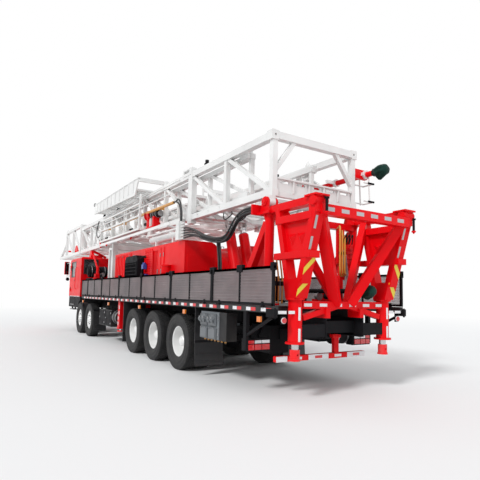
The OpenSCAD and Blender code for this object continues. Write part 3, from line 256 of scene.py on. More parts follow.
def tape(name, colour):
    """Reflective marking tape with its fine cell pattern."""
    f = Finish(name, colour, 0.28, coat=0.4)
    cell = f.spread(f.cells(130), 0.0, 0.05)
    shade = f.mix(cell, rgba(colour, 0.8), rgba(colour))
    scuffed = f.spread(f.noise(30, 4), 0.6, 0.8, 0, 0.3)
    f.bump(cell, 0.0002, 0.4)
    return f.done(f.mix(scuffed, shade, ROAD_DUST), 0.28)


def lens(name, colour):
    """Ribbed lamp lens."""
    f = Finish(name, colour, 0.12, coat=0.8)
    f.dress({"Emission Color": rgba(colour), "Emission Strength": 0.15})
    ribs = f.wave(60)
    f.bump(ribs, 0.0012, 0.6)
    return f.done(f.mix(ribs, rgba(colour, 0.6), rgba(colour)), 0.12)


def window_glass():
    f = Finish("window_glass", (0.10, 0.13, 0.14), 0.04)
    film = f.spread(f.noise(5, 4), 0.4, 0.8, 0.03, 0.11)
    return f.dress({"Transmission Weight": 0.72, "IOR": 1.45, "Roughness": film})


def mesh_steel():
    """Wire under dark grey paint, unevenly weathered."""
    f = Finish("mesh_steel", (0.19, 0.165, 0.17), 0.55, metallic=0.1)
    patch = f.spread(f.noise(2.2, 3), 0.35, 0.7)
    f.bump(f.noise(150, 2), 0.0005, 0.5)
    return f.done(f.mix(patch, (0.25, 0.225, 0.23, 1), (0.34, 0.295, 0.30, 1)), 0.55)


def tread_plate():
    """Black deck plate with raised diamonds."""
    f = Finish("deck_plate", (0.018, 0.018, 0.020), 0.55)
    worn = f.spread(f.noise(4, 5, 0.7), 0.4, 0.75, 0, 0.4)
    inputs = {"Rotation": (0, 0, math.radians(45)), "Vector": f.place}
    turned = f.node("ShaderNodeMapping", inputs).outputs[0]
    bars = f.times(f.wave(22, "X", turned), f.wave(8, "Y", turned))
    f.bump(f.spread(bars, 0.45, 0.6), 0.003, 0.7)
    return f.done(f.mix(worn, (0.014, 0.014, 0.016, 1), (0.07, 0.066, 0.064, 1)), 0.55)


def leg_steel(foot_top):
    """A chromed jack leg above a painted foot."""
    f = Finish("jack_leg", (0.70, 0.70, 0.72), 0.16)
    painted = f.spread(f.distance("Z"), foot_top + 0.001, foot_top - 0.001)
    f.dress({"Metallic": f.spread(painted, 0, 1, 1, 0)})
    smear = f.spread(f.noise(9, 5, 0.7), 0.3, 0.75)
    steel = f.mix(smear, (0.45, 0.44, 0.43, 1), (0.72, 0.72, 0.74, 1))
    dusty = f.mix(f.spread(f.noise(6, 4), 0.45, 0.8, 0, 0.4), rgba(RED), ROAD_DUST)
    f.bump(f.noise(180, 2), 0.0003, 0.4)
    return f.done(f.mix(painted, steel, dusty), f.spread(painted, 0, 1, 0.18, 0.34))


RED = (0.82, 0.002, 0.006)
WHITE = (0.80, 0.80, 0.79)
BLACK = (0.010, 0.010, 0.012)
GREY = (0.15, 0.165, 0.18)
REAR_FOOT_TOP, MID_FOOT_TOP = 0.806, 0.495

# Each enamel: colour, gloss, dust, wear, coat, shine
ENAMELS = {
    "red_paint": (RED, 0.32, 0.05, 0.15, 0.03, 0.12),
    "white_paint": (WHITE, 0.32, 0.18, 0.3, 0.35, 0.4),
    "black_steel": (BLACK, 0.5, 0.03, 0.08, 0.0, 0.08),
    "grey_steel": (GREY, 0.4, 0.3, 0.3, 0.1, 0.5),
    "wheel_white": ((0.90, 0.90, 0.89), 0.35, 0.04, 0.1, 0.35, 0.3),
    "box_paint": (GREY, 0.4, 0.15, 0.25, 0.05, 0.25, (BLACK, beside_sockets)),
    "yellow_paint": ((0.66, 0.30, 0.035), 0.35, 0.3),
    "blue_paint": ((0.025, 0.07, 0.36), 0.3, 0.3),
}
FINISHES = {name: enamel(name, *look) for name, look in ENAMELS.items()}
FINISHES |= {
    "rear_leg": leg_steel(REAR_FOOT_TOP),
    "mid_leg": leg_steel(MID_FOOT_TOP),
    "tyre": rubber("tyre_rubber", (0.014, 0.014, 0.015), 0.72, 0.10),
    "rubber": rubber("hose_rubber", (0.014, 0.014, 0.016), 0.45, 0.08),
    "rod_chrome": bare_metal("rod_chrome", (0.72, 0.72, 0.74), 0.14),
    "mirror": bare_metal("mirror_glass", (0.03, 0.033, 0.036), 0.08),
    "bare_steel": bare_metal("bare_steel", (0.42, 0.42, 0.43), 0.36),
    "green_cloth": tarpaulin("green_cloth", (0.004, 0.040, 0.028)),
    "cab_trim": rubber("cab_trim", (0.045, 0.045, 0.05), 0.6, 0.1),
    "window_glass": window_glass(),
    "walkway_mesh": mesh_steel(),
    "deck_plate": tread_plate(),
    "tape_white": tape("tape_white", (0.78, 0.78, 0.80)),
    "tape_silver": tape("tape_silver", (0.44, 0.41, 0.42)),
    "tape_red": tape("tape_red", (0.70, 0.012, 0.02)),
    "tape_yellow": tape("tape_yellow", (0.80, 0.62, 0.02)),
    "lens_red": lens("lens_red", (0.62, 0.01, 0.015)),
    "lens_amber": lens("lens_amber", (0.85, 0.22, 0.02)),
    "lens_clear": lens("lens_clear", (0.72, 0.74, 0.76)),
}


def paint_frame():
    """Gives each CAD node the finish of its slot, or its own."""
    own = {"deck": "deck_plate", "side_boxes": "box_paint"}
    for side in SIDES:
        own[f"jack_leg_rear_{side}"] = "rear_leg"
        own[f"jack_leg_mid_{side}"] = "mid_leg"
    for entry in frame["record"]["subparts"]:
        materials = frame["nodes"][entry["node"]].data.materials
        materials.clear()
        materials.append(FINISHES[own.get(entry["node"], entry["material_slot"])])


# Mesh tools


def paint(made, number):
    for face in {f for v in made for f in v.link_faces}:
        face.material_index = number


def add_block(form, place, size, finish=0):
    turn = place @ Matrix.Diagonal((*size, 1))
    made = bmesh.ops.create_cube(form, size=1, matrix=turn)["verts"]
    paint(made, finish)
    return made


def add_box(form, low, high, finish=0):
    """A box between two corners."""
    low, high = Vector(low), Vector(high)
    size = [abs(s) for s in high - low]
    return add_block(form, Matrix.Translation((low + high) / 2), size, finish)


def halfway(start, end):
    """The place in the middle of a line, with X along it and Y level."""
    run = (end - start).normalized()
    level = Vector((0, 0, 1)).cross(run)
    level = Vector((0, 1, 0)) if level.length < 1e-4 else level.normalized()
    turn = Matrix((run, level, run.cross(level))).transposed().to_4x4()
    return Matrix.Translation((start + end) / 2) @ turn


def add_rod(form, start, end, diameter, facets=16, end_diameter=None, finish=0):
    """A round bar or a cone along a line."""
    start, end = Vector(start), Vector(end)
    made = bmesh.ops.create_cone(
        form,
        cap_ends=True,
        segments=facets,
        radius1=diameter / 2,
        radius2=(diameter if end_diameter is None else end_diameter) / 2,
        depth=(end - start).length,
        matrix=halfway(start, end) @ Matrix.Rotation(math.pi / 2, 4, "Y"),
    )["verts"]
    paint(made, finish)


def add_spun(form, outline, place, finish=0, steps=48):
    """A closed outline of (radius, along) points turned about Y, then put in place."""
    before = set(form.verts)
    ring = [form.verts.new((radius, along, 0)) for radius, along in outline]
    edges = [form.edges.new(pair) for pair in zip(ring, ring[1:] + ring[:1])]
    bmesh.ops.spin(
        form,
        geom=ring + edges,
        cent=(0, 0, 0),
        axis=(0, 1, 0),
        angle=math.tau,
        steps=steps,
        use_merge=True,
    )
    turned = [v for v in form.verts if v not in before]
    bmesh.ops.remove_doubles(form, verts=turned, dist=1e-5)
    turned = [v for v in turned if v.is_valid]
    bmesh.ops.recalc_face_normals(form, faces=list({f for v in turned for f in v.link_faces}))
    bmesh.ops.transform(form, matrix=place, verts=turned)
    paint(turned, finish)


def add_skin(form, rings, finish=0, open_start=False):
    """Faces between rings of points, and caps on the ends."""
    rings = [[form.verts.new(point) for point in ring] for ring in rings]
    made = [form.faces.new(rings[-1])]
    if not open_start:
        made.append(form.faces.new(rings[0][::-1]))
    for low, high in zip(rings, rings[1:]):
        for k in range(len(low)):
            made.append(form.faces.new((low[k - 1], low[k], high[k], high[k - 1])))
    for face in made:
        face.material_index = finish


def add_tube(form, points, diameter, facets=8, finish=0):
    """A round tube through a list of points."""
    rings = []
    side = None
    for i, point in enumerate(points):
        run = (points[min(i + 1, len(points) - 1)] - points[max(i - 1, 0)]).normalized()
        seed = side or Vector((0, 0, 1) if abs(run.z) < 0.9 else (1, 0, 0))
        side = (seed - run * seed.dot(run)).normalized()
        over = run.cross(side)
        turns = [math.tau * k / facets for k in range(facets)]
        spokes = [math.cos(a) * side + math.sin(a) * over for a in turns]
        rings.append([point + diameter / 2 * spoke for spoke in spokes])
    add_skin(form, rings, finish)


def smooth_run(points, steps=6):
    """A finer line through given points, rounded as a bent tube is."""
    points = [Vector(p) for p in points]
    line = []
    befores, afters = points[:1] + points, points[2:] + points[-1:]
    for before, start, end, after in zip(befores, points, points[1:], afters):
        second = 2 * before - 5 * start + 4 * end - after
        third = 3 * start - before - 3 * end + after
        for t in (k / steps for k in range(steps)):
            line.append(0.5 * (2 * start + (end - before) * t + second * t**2 + third * t**3))
    return line + [points[-1]]


# Rows of small parts. A row starts with two points as x, y, z, x, y, z. sides tells on which
# side of the rig it is made, its y mirrored on the right.


def placed(rows, sides):
    for side in sides:
        for x0, y0, z0, x1, y1, z1, *rest in rows:
            yield at(x0, side * y0, z0), at(x1, side * y1, z1), rest


def blocks(form, *rows, sides=LEFT, finish=0):
    for low, high, _ in placed(rows, sides):
        add_box(form, low, high, finish)


def bars(form, *rows, sides=LEFT, finish=0):
    """Square bars. A row goes on with the width, which is level, and the depth across it."""
    for start, end, size in placed(rows, sides):
        add_block(form, halfway(start, end), ((end - start).length, *size), finish)


def rods(form, *rows, sides=LEFT, finish=0):
    """Round bars. A row goes on with the diameter, the facets and the far end's diameter."""
    for start, end, rest in placed(rows, sides):
        add_rod(form, start, end, *rest, finish=finish)


def tube(form, diameter, points, facets=8, sides=LEFT, finish=0):
    for side in sides:
        line = smooth_run([at(x, side * y, z) for x, y, z in points])
        add_tube(form, line, diameter, facets, finish)


def knob(form, outline, point, quarter_turns=0, steps=24, sides=LEFT, finish=0):
    """A turned shape at a point, its axis along Y before the quarter turns."""
    x, y, z = point
    for side in sides:
        turn = Matrix.Rotation(quarter_turns * math.pi / 2, 4, "Z")
        add_spun(form, outline, Matrix.Translation(at(x, side * y, z)) @ turn, finish, steps)


def ring(form, axis, middle, low, high, bar, depth, sides=LEFT):
    """A rectangular frame across an axis; low and high are its corners in the other directions."""
    (a0, b0), (a1, b1) = low, high
    near, far = middle - depth / 2, middle + depth / 2
    for a, b, c, d in (
        (a0, b0, a1, b0 + bar),
        (a0, b1 - bar, a1, b1),
        (a0, b0 + bar, a0 + bar, b1 - bar),
        (a1 - bar, b0 + bar, a1, b1 - bar),
    ):
        row = (a, near, b, c, far, d) if axis == "y" else (near, a, b, far, c, d)
        blocks(form, row, sides=sides)


def new_object(name, mesh):
    made = bpy.data.objects.new(name, mesh)
    bpy.context.scene.collection.objects.link(made)
    return made


def mesh_of(form, name):
    mesh = bpy.data.meshes.new(name)
    form.to_mesh(mesh)
    form.free()
    return mesh


def piece(name, form, slot, finishes=None, body="carrier", round_edges=0.0, crease=35):
    """Makes a bmesh an object that rides on a body and takes its finish from a slot."""
    mesh = mesh_of(form, name)
    made = new_object(name, mesh)
    for finish in finishes or [slot]:
        mesh.materials.append(FINISHES[finish])
    mesh.polygons.foreach_set("use_smooth", [True] * len(mesh.polygons))
    mesh.set_sharp_from_angle(angle=math.radians(crease))
    if round_edges:
        bevel = made.modifiers.new("rounded_edges", "BEVEL")
        bevel.width = round_edges
        bevel.segments = 2
        bevel.limit_method = "ANGLE"
        bevel.angle_limit = math.radians(40)
        bevel.harden_normals = True
    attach(made, body)
    return made


# Hoses, each one a tube of its own

HOSE_D, REAR_LOOP_D, FRONT_LOOP_D = 0.040, 0.038, 0.036
# The bundle's own line from the valve stand to the bulkhead on the rear frame
BUNDLE_LINE = [
    (3.85, 1.200, 2.990), (3.79, 1.200, 2.990), (3.55, 1.190, 2.965), (3.25, 1.185, 2.905),
    (2.95, 1.185, 2.830), (2.65, 1.185, 2.755), (2.40, 1.185, 2.705), (2.15, 1.185, 2.682),
    (1.96, 1.185, 2.702), (1.82, 1.185, 2.775), (1.70, 1.185, 2.885), (1.58, 1.185, 2.995),
    (1.44, 1.183, 3.070), (1.25, 1.180, 3.105), (1.00, 1.180, 3.105),
]
DROP_LINE = [
    (2.380, 1.120, 2.650), (2.370, 1.110, 2.500), (2.350, 1.100, 2.300), (2.340, 1.100, 2.100),
    (2.340, 1.100, 1.900), (2.340, 1.100, 1.700), (2.340, 1.100, DECK_TOP),
]
# Each hose of the bundle: height at its fitting, then its place in the bundle across and above
BUNDLE_HOSES = [
    (2.895, -0.024, -0.034), (2.950, 0.024, -0.034), (3.005, 0.000, 0.008),
    (3.062, -0.038, 0.042), (3.120, 0.038, 0.042),
]
DROP_HOSES = [(-0.022, -0.020), (0.022, -0.018), (0.0, 0.020)]
FRONT_LOOP = [
    (11.10, 1.150, 3.875), (11.20, 1.150, 3.872), (11.32, 1.150, 3.840), (11.45, 1.150, 3.775),
    (11.59, 1.150, 3.715), (11.74, 1.150, 3.690), (11.89, 1.147, 3.715), (12.02, 1.138, 3.795),
    (12.11, 1.123, 3.915), (12.16, 1.104, 4.050), (12.18, 1.083, 4.180), (12.185, 1.062, 4.290),
    (12.185, 1.040, 4.390),
]


def make_hose(name, points, diameter, body="carrier", steps=2):
    """One rubber hose along its points."""
    line = smooth_run(points, steps)
    form = bmesh.new()
    add_tube(form, line, diameter, 10)
    made = piece(name, form, "rubber", body=body, crease=60)
    return made


def make_bundles():
    for number, (start_z, across, above) in enumerate(BUNDLE_HOSES, 1):
        points = []
        for k, (x, y, z) in enumerate(BUNDLE_LINE):
            # The hoses leave their fittings one above another and are together at the fifth point
            joined = min(1.0, max(0.0, (k - 1) / 3))
            sway = 0.006 * math.sin(1.7 * k + 2 * number)
            z = z * joined + start_z * (1 - joined) + joined * above
            points.append(at(x, y + joined * (across + sway), z))
        points[-1].z = points[-2].z
        made = make_hose(f"span_hose_{number}", points, HOSE_D)
        if number == 1:
            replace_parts(made, "hose_bundle")
    for number, (along, across) in enumerate(DROP_HOSES, 1):
        points = [at(x + along, y + across, z) for x, y, z in DROP_LINE]
        made = make_hose(f"drop_hose_{number}", points, HOSE_D, steps=3)
        if number == 1:
            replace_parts(made, "hose_drop")


def make_mast_hoses():
    """Black loops that leave both ends of the yellow guide tube and go back into the mast."""
    for number, shift in ((1, 0.0), (2, 0.055)):
        start = (1.150 - shift / 2, 3.850 + shift / 3)
        points = [at(4.62, *start), at(4.54, *start)]
        for x, y, z in (
            (4.44, 1.150, 3.835 + shift), (4.33, 1.150, 3.780 + shift),
            (4.25, 1.150, 3.690 + shift / 2), (4.20, 1.150, 3.580), (4.18, 1.150, 3.460),
            (4.18, 1.150, 3.360), (4.20, 1.140, 3.270), (4.25, 1.120, 3.215),
        ):
            points.append(at(x - shift, y, z))
        make_hose(f"rear_loop_{number}", points, REAR_LOOP_D, "mast", steps=3)
    make_hose("front_loop", [at(*p) for p in FRONT_LOOP], FRONT_LOOP_D, "mast")


# Cloth tied over the open pipe ends

# Places along a tied cloth, as a share of its length, and how far it stands from the middle line
CLOTH_OUTLINE = [
    (0.00, 0.62), (0.07, 0.54), (0.13, 0.56), (0.22, 0.78), (0.34, 0.94), (0.48, 1.00),
    (0.62, 0.98), (0.76, 0.94), (0.88, 0.82), (0.96, 0.58), (1.00, 0.22),
]
CLOTH_T = 0.003
CLOTH_SIDES = 72


def make_cloth(name, node, body, folds, tail):
    """A cloth over a pipe end: gathered at its tie, slack over the end, with a hanging tail."""
    low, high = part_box(node)
    start, end = (Vector((x, (low.y + high.y) / 2, (low.z + high.z) / 2)) for x in (high.x, low.x))
    radius = (high.z - low.z) / 2
    turn = halfway(start, end).to_3x3()
    form = bmesh.new()
    rings = []
    for share, width in CLOTH_OUTLINE:
        rings.append([])
        for k in range(CLOTH_SIDES):
            angle = math.tau * k / CLOTH_SIDES
            fold = 0.5 + 0.5 * math.sin(folds * angle + 3.0 * share + 0.8 * math.sin(2 * angle))
            slack = 1.0 - 0.16 * fold * (1.15 - abs(2 * share - 1))
            slack -= 0.05 * math.sin(3 * angle + 5 * share)
            out = radius * width * slack
            below = max(0.0, -math.sin(angle))
            drop = tail * below**3 * math.sin(math.pi * min(1.0, 1.25 * share)) ** 2
            place = Vector((0, out * math.cos(angle), (out + drop) * math.sin(angle)))
            rings[-1].append(start.lerp(end, share) + turn @ place)
    add_skin(form, rings, open_start=True)
    bmesh.ops.recalc_face_normals(form, faces=form.faces)
    every_way = {f"use_axis_{axis}": True for axis in "xyz"}
    bmesh.ops.smooth_vert(form, verts=form.verts, factor=0.3, **every_way)
    made = piece(name, form, "green_cloth", body=body, crease=75)
    made.modifiers.new("cloth_thickness", "SOLIDIFY").thickness = CLOTH_T
    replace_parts(made, node)
    form = bmesh.new()
    tie = start.lerp(end, 0.09)
    along = (end - start).normalized() * 0.012
    for shift in (-1, 1 / 3):
        add_rod(form, tie + shift * along, tie + (shift + 1) * along, radius * 1.16, 20)
    piece(f"{name}_tie", form, "rubber", body=body, crease=50)


def make_cloths():
    make_cloth("shaft_cloth", "shaft_wrap", "carrier", 7, 0.04)
    make_cloth("standpipe_cloth", "standpipe_wrap", "mast", 6, 0.05)


# Wheels

TREAD_BLOCKS = 60
TREAD_DEPTH = 0.015
# Tread rows across the tyre: low edge, high edge, share of a block's pitch of its shift
TREAD_ROWS = [
    (-0.142, -0.088, 0.0), (-0.079, -0.034, 0.5), (-0.025, 0.025, 0.0),
    (0.034, 0.079, 0.5), (0.088, 0.142, 0.0),
]
NOWHERE = Matrix.Identity(4)


def tyre_mesh():
    """A truck tyre round Y: sidewalls with their beads and rings, and five rows of tread blocks."""
    form = bmesh.new()
    half = TYRE_W / 2
    bead = RIM_R - 0.02
    carcass = WHEEL_R - TREAD_DEPTH
    wall = [
        (bead, half - 0.045), (bead + 0.022, half - 0.026), (bead + 0.045, half - 0.022),
        (bead + 0.052, half - 0.012), (bead + 0.080, half - 0.004), (bead + 0.120, half),
        (bead + 0.128, half - 0.004), (bead + 0.180, half - 0.004),
        (bead + 0.188, half - 0.001), (WHEEL_R - 0.060, half - 0.006),
        (WHEEL_R - 0.035, half - 0.016), (carcass - 0.002, half - 0.030),
        (carcass, half - 0.060),
    ]
    add_spun(form, wall + [(r, -y) for r, y in reversed(wall)], NOWHERE, steps=60)
    pitch = math.tau / TREAD_BLOCKS
    for low, high, shift in TREAD_ROWS:
        shoulder = abs(low + high) > 0.2
        deep = WHEEL_R - (0.045 if shoulder else TREAD_DEPTH + 0.004)
        width = 0.74 if shoulder else 0.80
        lean = 1 if low + high > 0 else -1
        for k in range(TREAD_BLOCKS):
            for v in add_box(form, (deep, low, -0.5), (WHEEL_R, high, 0.5)):
                radius, y, along = v.co
                if shoulder and radius > deep + 0.01 and abs(y) > 0.13:
                    radius -= 0.010
                angle = (k + shift + 0.5 + along * width) * pitch
                skewed = y + 0.006 * along * lean
                v.co = Vector((radius * math.cos(angle), skewed, radius * math.sin(angle)))
    return mesh_of(form, "tyre_pattern")


def circle(radius, count, offset=0.0):
    angles = [math.tau * (k + offset) / count for k in range(count)]
    return [(radius * math.cos(a), radius * math.sin(a)) for a in angles]


def add_nuts(form, circle_r, count, y_low, y_high, across, finish=0):
    for x, z in circle(circle_r, count):
        add_rod(form, (x, y_low, z), (x, y_high, z), across, 6, finish=finish)
        add_rod(form, (x, y_high, z), (x, y_high + 0.012, z), across * 0.5, 8, finish=finish)


def cut_holes(form, circle_r, count, diameter, y_low, y_high):
    """Cuts a ring of round hand holes through a disc, with a boolean that is applied at once."""
    drills = bmesh.new()
    for x, z in circle(circle_r, count, 0.5):
        add_rod(drills, (x, y_low, z), (x, y_high, z), diameter, 18)
    disc = new_object("disc", mesh_of(form, "disc"))
    cutter = new_object("cutter", mesh_of(drills, "cutter"))
    cut = disc.modifiers.new("holes", "BOOLEAN")
    cut.object = cutter
    cut.operation = "DIFFERENCE"
    cut.solver = "EXACT"
    bpy.context.view_layer.update()
    shown = disc.evaluated_get(bpy.context.evaluated_depsgraph_get())
    result = bmesh.new()
    result.from_mesh(shown.to_mesh())
    shown.to_mesh_clear()
    for o in (disc, cutter):
        bpy.data.objects.remove(o)
    return result


# The disc is drawn for a smaller tyre: outside its bolts it is this much wider
DISC_SCALE, BOLTS_R = 1.131, 0.19


def rim_mesh(twin):
    """White disc wheel round Y, outer side towards +Y: a deep dish on twins, domed in front."""
    middle = (TYRE_W + TWIN_GAP) / 2 if twin else 0.0
    lip = middle + 0.118
    face = 0.030 if twin else 0.095
    inner = -middle - 0.11 if twin else -0.118
    outline = [
        (0.135, face - 0.012), (0.135, face + 0.004), (0.185, face + 0.012),
        (0.235, face - 0.002), (0.262, face + 0.020),
        (0.272, middle + 0.02 if twin else 0.100), (0.268, lip - 0.022), (0.290, lip - 0.014),
        (0.300, lip), (0.305, lip - 0.004), (0.300, lip - 0.030), (0.282, lip - 0.040),
        (0.282, inner + 0.03), (0.305, inner), (0.272, inner + 0.01), (0.258, face - 0.012),
        (0.235, face - 0.020), (0.185, face - 0.006),
    ]
    outline = [(r * DISC_SCALE if r > BOLTS_R else r, y) for r, y in outline]
    disc = bmesh.new()
    add_spun(disc, outline, NOWHERE, steps=56)
    form = cut_holes(disc, 0.230, 8, 0.046, face - 0.05, face + 0.05)
    hub = middle + 0.055 if twin else 0.148
    outline = [
        (0.0, face - 0.10), (0.136, face - 0.10), (0.136, face + 0.010), (0.118, face + 0.016),
        (0.112, hub - 0.030), (0.096, hub - 0.010), (0.060, hub - 0.008), (0.056, hub),
        (0.0, hub),
    ]
    add_spun(form, outline, NOWHERE, steps=40)
    add_nuts(form, 0.160, 10, face, face + 0.030, 0.034, finish=1)
    add_nuts(form, 0.082, 8, hub - 0.012, hub - 0.004, 0.018)
    add_rod(form, (0.25, face + 0.02, 0.03), (0.262, face + 0.085, 0.03), 0.012, 8, finish=1)
    return mesh_of(form, "rim_pattern")


def make_wheels():
    tyre = tyre_mesh()
    rims = {twin: rim_mesh(twin) for twin in (False, True)}

    def put(form, pattern, place):
        copied = pattern.copy()
        copied.transform(place)
        form.from_mesh(copied)
        bpy.data.meshes.remove(copied)

    for number, x in AXLES_X.items():
        twin = number not in STEERED
        for name, side in SIDES.items():
            body = f"wheel_{number}_{name}"
            place = Matrix.Translation(at(x, side * (TWIN_Y if twin else SINGLE_Y), WHEEL_R))
            place = place @ Matrix.Rotation(0 if side > 0 else math.pi, 4, "Z")
            form = bmesh.new()
            apart = (TYRE_W + TWIN_GAP) / 2
            for offset in (-apart, apart) if twin else (0.0,):
                spin = Matrix.Rotation(0.4 * number + offset, 4, "Y")
                put(form, tyre, place @ Matrix.Translation((0, offset, 0)) @ spin)
            made = piece(f"tyre_{number}_{name}", form, "tyre", body=body, crease=28)
            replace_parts(made, body)
            form = bmesh.new()
            put(form, rims[twin], place @ Matrix.Rotation(0.7 * number, 4, "Y"))
            finishes = ["wheel_white", "bare_steel"]
            piece(f"rim_{number}_{name}", form, "white_paint", finishes, body, crease=30)
    for mesh in (tyre, *rims.values()):
        bpy.data.meshes.remove(mesh)


# Walkways of wire mesh in angle frames

WALKWAY_PANELS = 7
WIRE_PITCH = 0.020
CROSS_WIRE_PITCH = 0.05
WIRE = 0.006
WIRE_DEPTH = 0.012
ANGLE = 0.04


def make_walkway(name):
    side = SIDES[name]
    low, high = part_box(f"walkway_{name}")
    outer = max(abs(low.y), abs(high.y)) - 0.015
    inner = outer - ANGLE
    base, top = DECK_TOP + 0.006, high.z
    # The last panel is half as long as the others
    panel = (high.x - low.x) / (WALKWAY_PANELS - 0.5)
    form, wires = bmesh.new(), bmesh.new()

    def block(x0, y0, z0, x1, y1, z1, into=form):
        add_box(into, (x0, side * y0, z0), (x1, side * y1, z1))

    def pin(x0, x1, y0, y1, z):
        add_rod(form, (x0, side * y0, z), (x1, side * y1, z), 0.030)

    for i in range(WALKWAY_PANELS):
        x0 = low.x + i * panel + 0.012
        x1 = min(low.x + (i + 1) * panel, high.x) - 0.012
        for z in (base, top - ANGLE):
            block(x0, inner, z, x1, outer, z + ANGLE)
        for x in (x0, x1 - ANGLE):
            block(x, inner, base, x + ANGLE, outer, top)
        if x1 - x0 > 1:
            block((x0 + x1) / 2 - 0.015, inner, base, (x0 + x1) / 2 + 0.015, outer, top)
        count = int((x1 - x0) / WIRE_PITCH)
        y = (inner + outer) / 2
        for k in range(1, count):
            x = x0 + k * (x1 - x0) / count
            y0, y1 = y - WIRE_DEPTH / 2, y + WIRE_DEPTH / 2
            block(x - WIRE / 2, y0, base + 0.03, x + WIRE / 2, y1, top - 0.03, wires)
        rows = int((top - base) / CROSS_WIRE_PITCH)
        y += (WIRE_DEPTH + WIRE) * 0.45
        for k in range(1, rows):
            z = base + k * (top - base) / rows
            y0, y1 = y - WIRE / 2, y + WIRE / 2
            block(x0 + 0.02, y0, z - WIRE / 2, x1 - 0.02, y1, z + WIRE / 2, wires)
        # Hinges on the deck's edge
        for x in (low.x + (i + 0.15) * panel, low.x + (i + 0.85) * panel):
            if x <= high.x - 0.05:
                block(x - 0.02, inner + 0.002, base - 0.006, x + 0.02, outer + 0.008, base + 0.06)
                pin(x - 0.02, x + 0.02, outer, outer, DECK_TOP - 0.01)
    block(low.x, inner, top - ANGLE, high.x, outer, top)
    for i in range(1, WALKWAY_PANELS):
        x = low.x + i * panel
        block(x - 0.030, inner - 0.006, base, x + 0.030, outer + 0.006, top)
    # Clamps and their bolts on the top rail, broader at the rear
    for i in (0, 0.5, 1, 2, 3, 4, 5):
        x = low.x + i * panel
        size = 0.085 if i < 3 else 0.07
        block(max(x - size, low.x), inner - 0.015, top - 0.07, x + size, outer + 0.006, top + 0.050)
        pin(x + size * 0.4, x + size * 0.4, inner - 0.02, outer + 0.012, top + 0.01)
    body = f"walkway_{name}"
    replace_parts(piece(f"walkway_frame_{name}", form, "black_steel", body=body), body)
    piece(f"walkway_wires_{name}", wires, "walkway_mesh", body=body)


# Marking tape

TAPE_T = 0.0015
UP, RIGHTWARD = (0, 0, 1), (0, -1, 0)
# The rear frame's posts with the wider seats at their feet, and the jacks
POST_Y = 1.005
POST_HALF_W = 0.094
SEAT_HALF_W = 0.115
JACK_X = 0.085
JACK_R = 0.11
MID_JACK_X = 7.9
# Place across and height of each strip on a post
POST_TAPES = {
    "left": ((1.046, 2.726), (1.061, 2.418)),
    "right": ((0.960, 2.726), (0.945, 2.418)),
}
# Strips on the frame's beams: forward place, height, length, width, finish, places across
BEAM_TAPES = [
    (-0.5105, 2.925, 0.165, 0.062, 0, (0.833, 0.523, 0.200, -0.123, -0.449, -0.770)),
    (0.0245, 1.490, 0.160, 0.050, 1, (0.795, 0.469, 0.137, -0.191, -0.518, -0.842)),
]


def add_tape(form, centre, along, up, length, width, finish=0):
    """One strip of tape, flat on a face whose directions are along and up."""
    along, up = Vector(along).normalized(), Vector(up).normalized()
    turn = Matrix((along, up, along.cross(up))).transposed().to_4x4()
    add_block(form, Matrix.Translation(centre) @ turn, (length, width, TAPE_T), finish)


def add_band(form, corners, side, face_x, finish):
    """A patch on a face that leans; its (y, z) corners are on the left, mirrored on the right."""
    points = [at(face_x(z), side * y, z) for y, z in corners][::side]
    out = Vector((-1, 0, face_x(1) - face_x(0))).normalized() * TAPE_T
    add_skin(form, [points, [point + out for point in points]], finish)


def add_jack_tape(form, jack, low_z, high_z, finish):
    """An upright strip that follows the rear of a jack's round tube."""
    inside, outside = JACK_R - 0.001, JACK_R + TAPE_T
    section = ((inside, low_z), (inside, high_z), (outside, high_z), (outside, low_z))
    rings = []
    for k in range(5):
        angle = math.pi + 0.40 * (k / 4 - 0.5)
        spots = [(r * math.cos(angle), r * math.sin(angle), z) for r, z in section]
        rings.append([jack + Vector(spot) for spot in spots])
    add_skin(form, rings, finish)


def post_face(z):
    """How far forward the rear face of a rear post is at a height."""
    return -0.1005 - 0.2927 * (z - 1.833) - 0.0620


def seat_face(z):
    return -0.0655 - 0.3167 * (z - 1.593)


def make_frame_tapes():
    """Silver strips on the rear frame's posts and beams, and yellow bands low on its posts."""
    form = bmesh.new()
    silver, white, yellow, red = range(4)
    lean = (-0.2810, 0, 0.9597)
    for name, side in SIDES.items():
        for y, z in POST_TAPES[name]:
            place = at(post_face(z) - TAPE_T / 2, side * y, z)
            add_tape(form, place, lean, (0, 1, 0), 0.20, 0.045, silver)
        # Bands that rise towards the rig's middle
        outer, inner = POST_Y + POST_HALF_W, POST_Y - POST_HALF_W
        rise = 1.16 * (outer - inner)
        corners = [(outer, 1.945), (inner, 1.945 + rise), (inner, 2.055 + rise), (outer, 2.055)]
        add_band(form, corners, side, post_face, yellow)
        outer, inner = POST_Y + SEAT_HALF_W, POST_Y - SEAT_HALF_W
        corners = [(outer, 1.618), (inner, 1.875), (inner, 1.892), (outer - 0.145, 1.892)]
        corners += [(outer - 0.04, 1.775), (outer, 1.728)]
        add_band(form, corners, side, seat_face, yellow)
        for z in (1.353, 1.030):
            add_jack_tape(form, at(JACK_X, side * POST_Y, 0), z - 0.10, z + 0.10, white)
        for z in (0.70, 0.86, 1.02, 1.18):
            for half in (-1, 1):
                place = at(MID_JACK_X + 0.04 * half, side * 1.3925, z)
                colour = red if (z > 0.9) == (half > 0) else white
                add_tape(form, place, (-side, 0, 0), UP, 0.05, 0.10, colour)
    for x, z, length, width, colour, places in BEAM_TAPES:
        for y in places:
            add_tape(form, at(x - TAPE_T / 2, y, z), RIGHTWARD, UP, length, width, colour)
    finishes = ["tape_silver", "tape_white", "tape_yellow", "tape_red"]
    piece("frame_tape", form, "grey_steel", finishes)


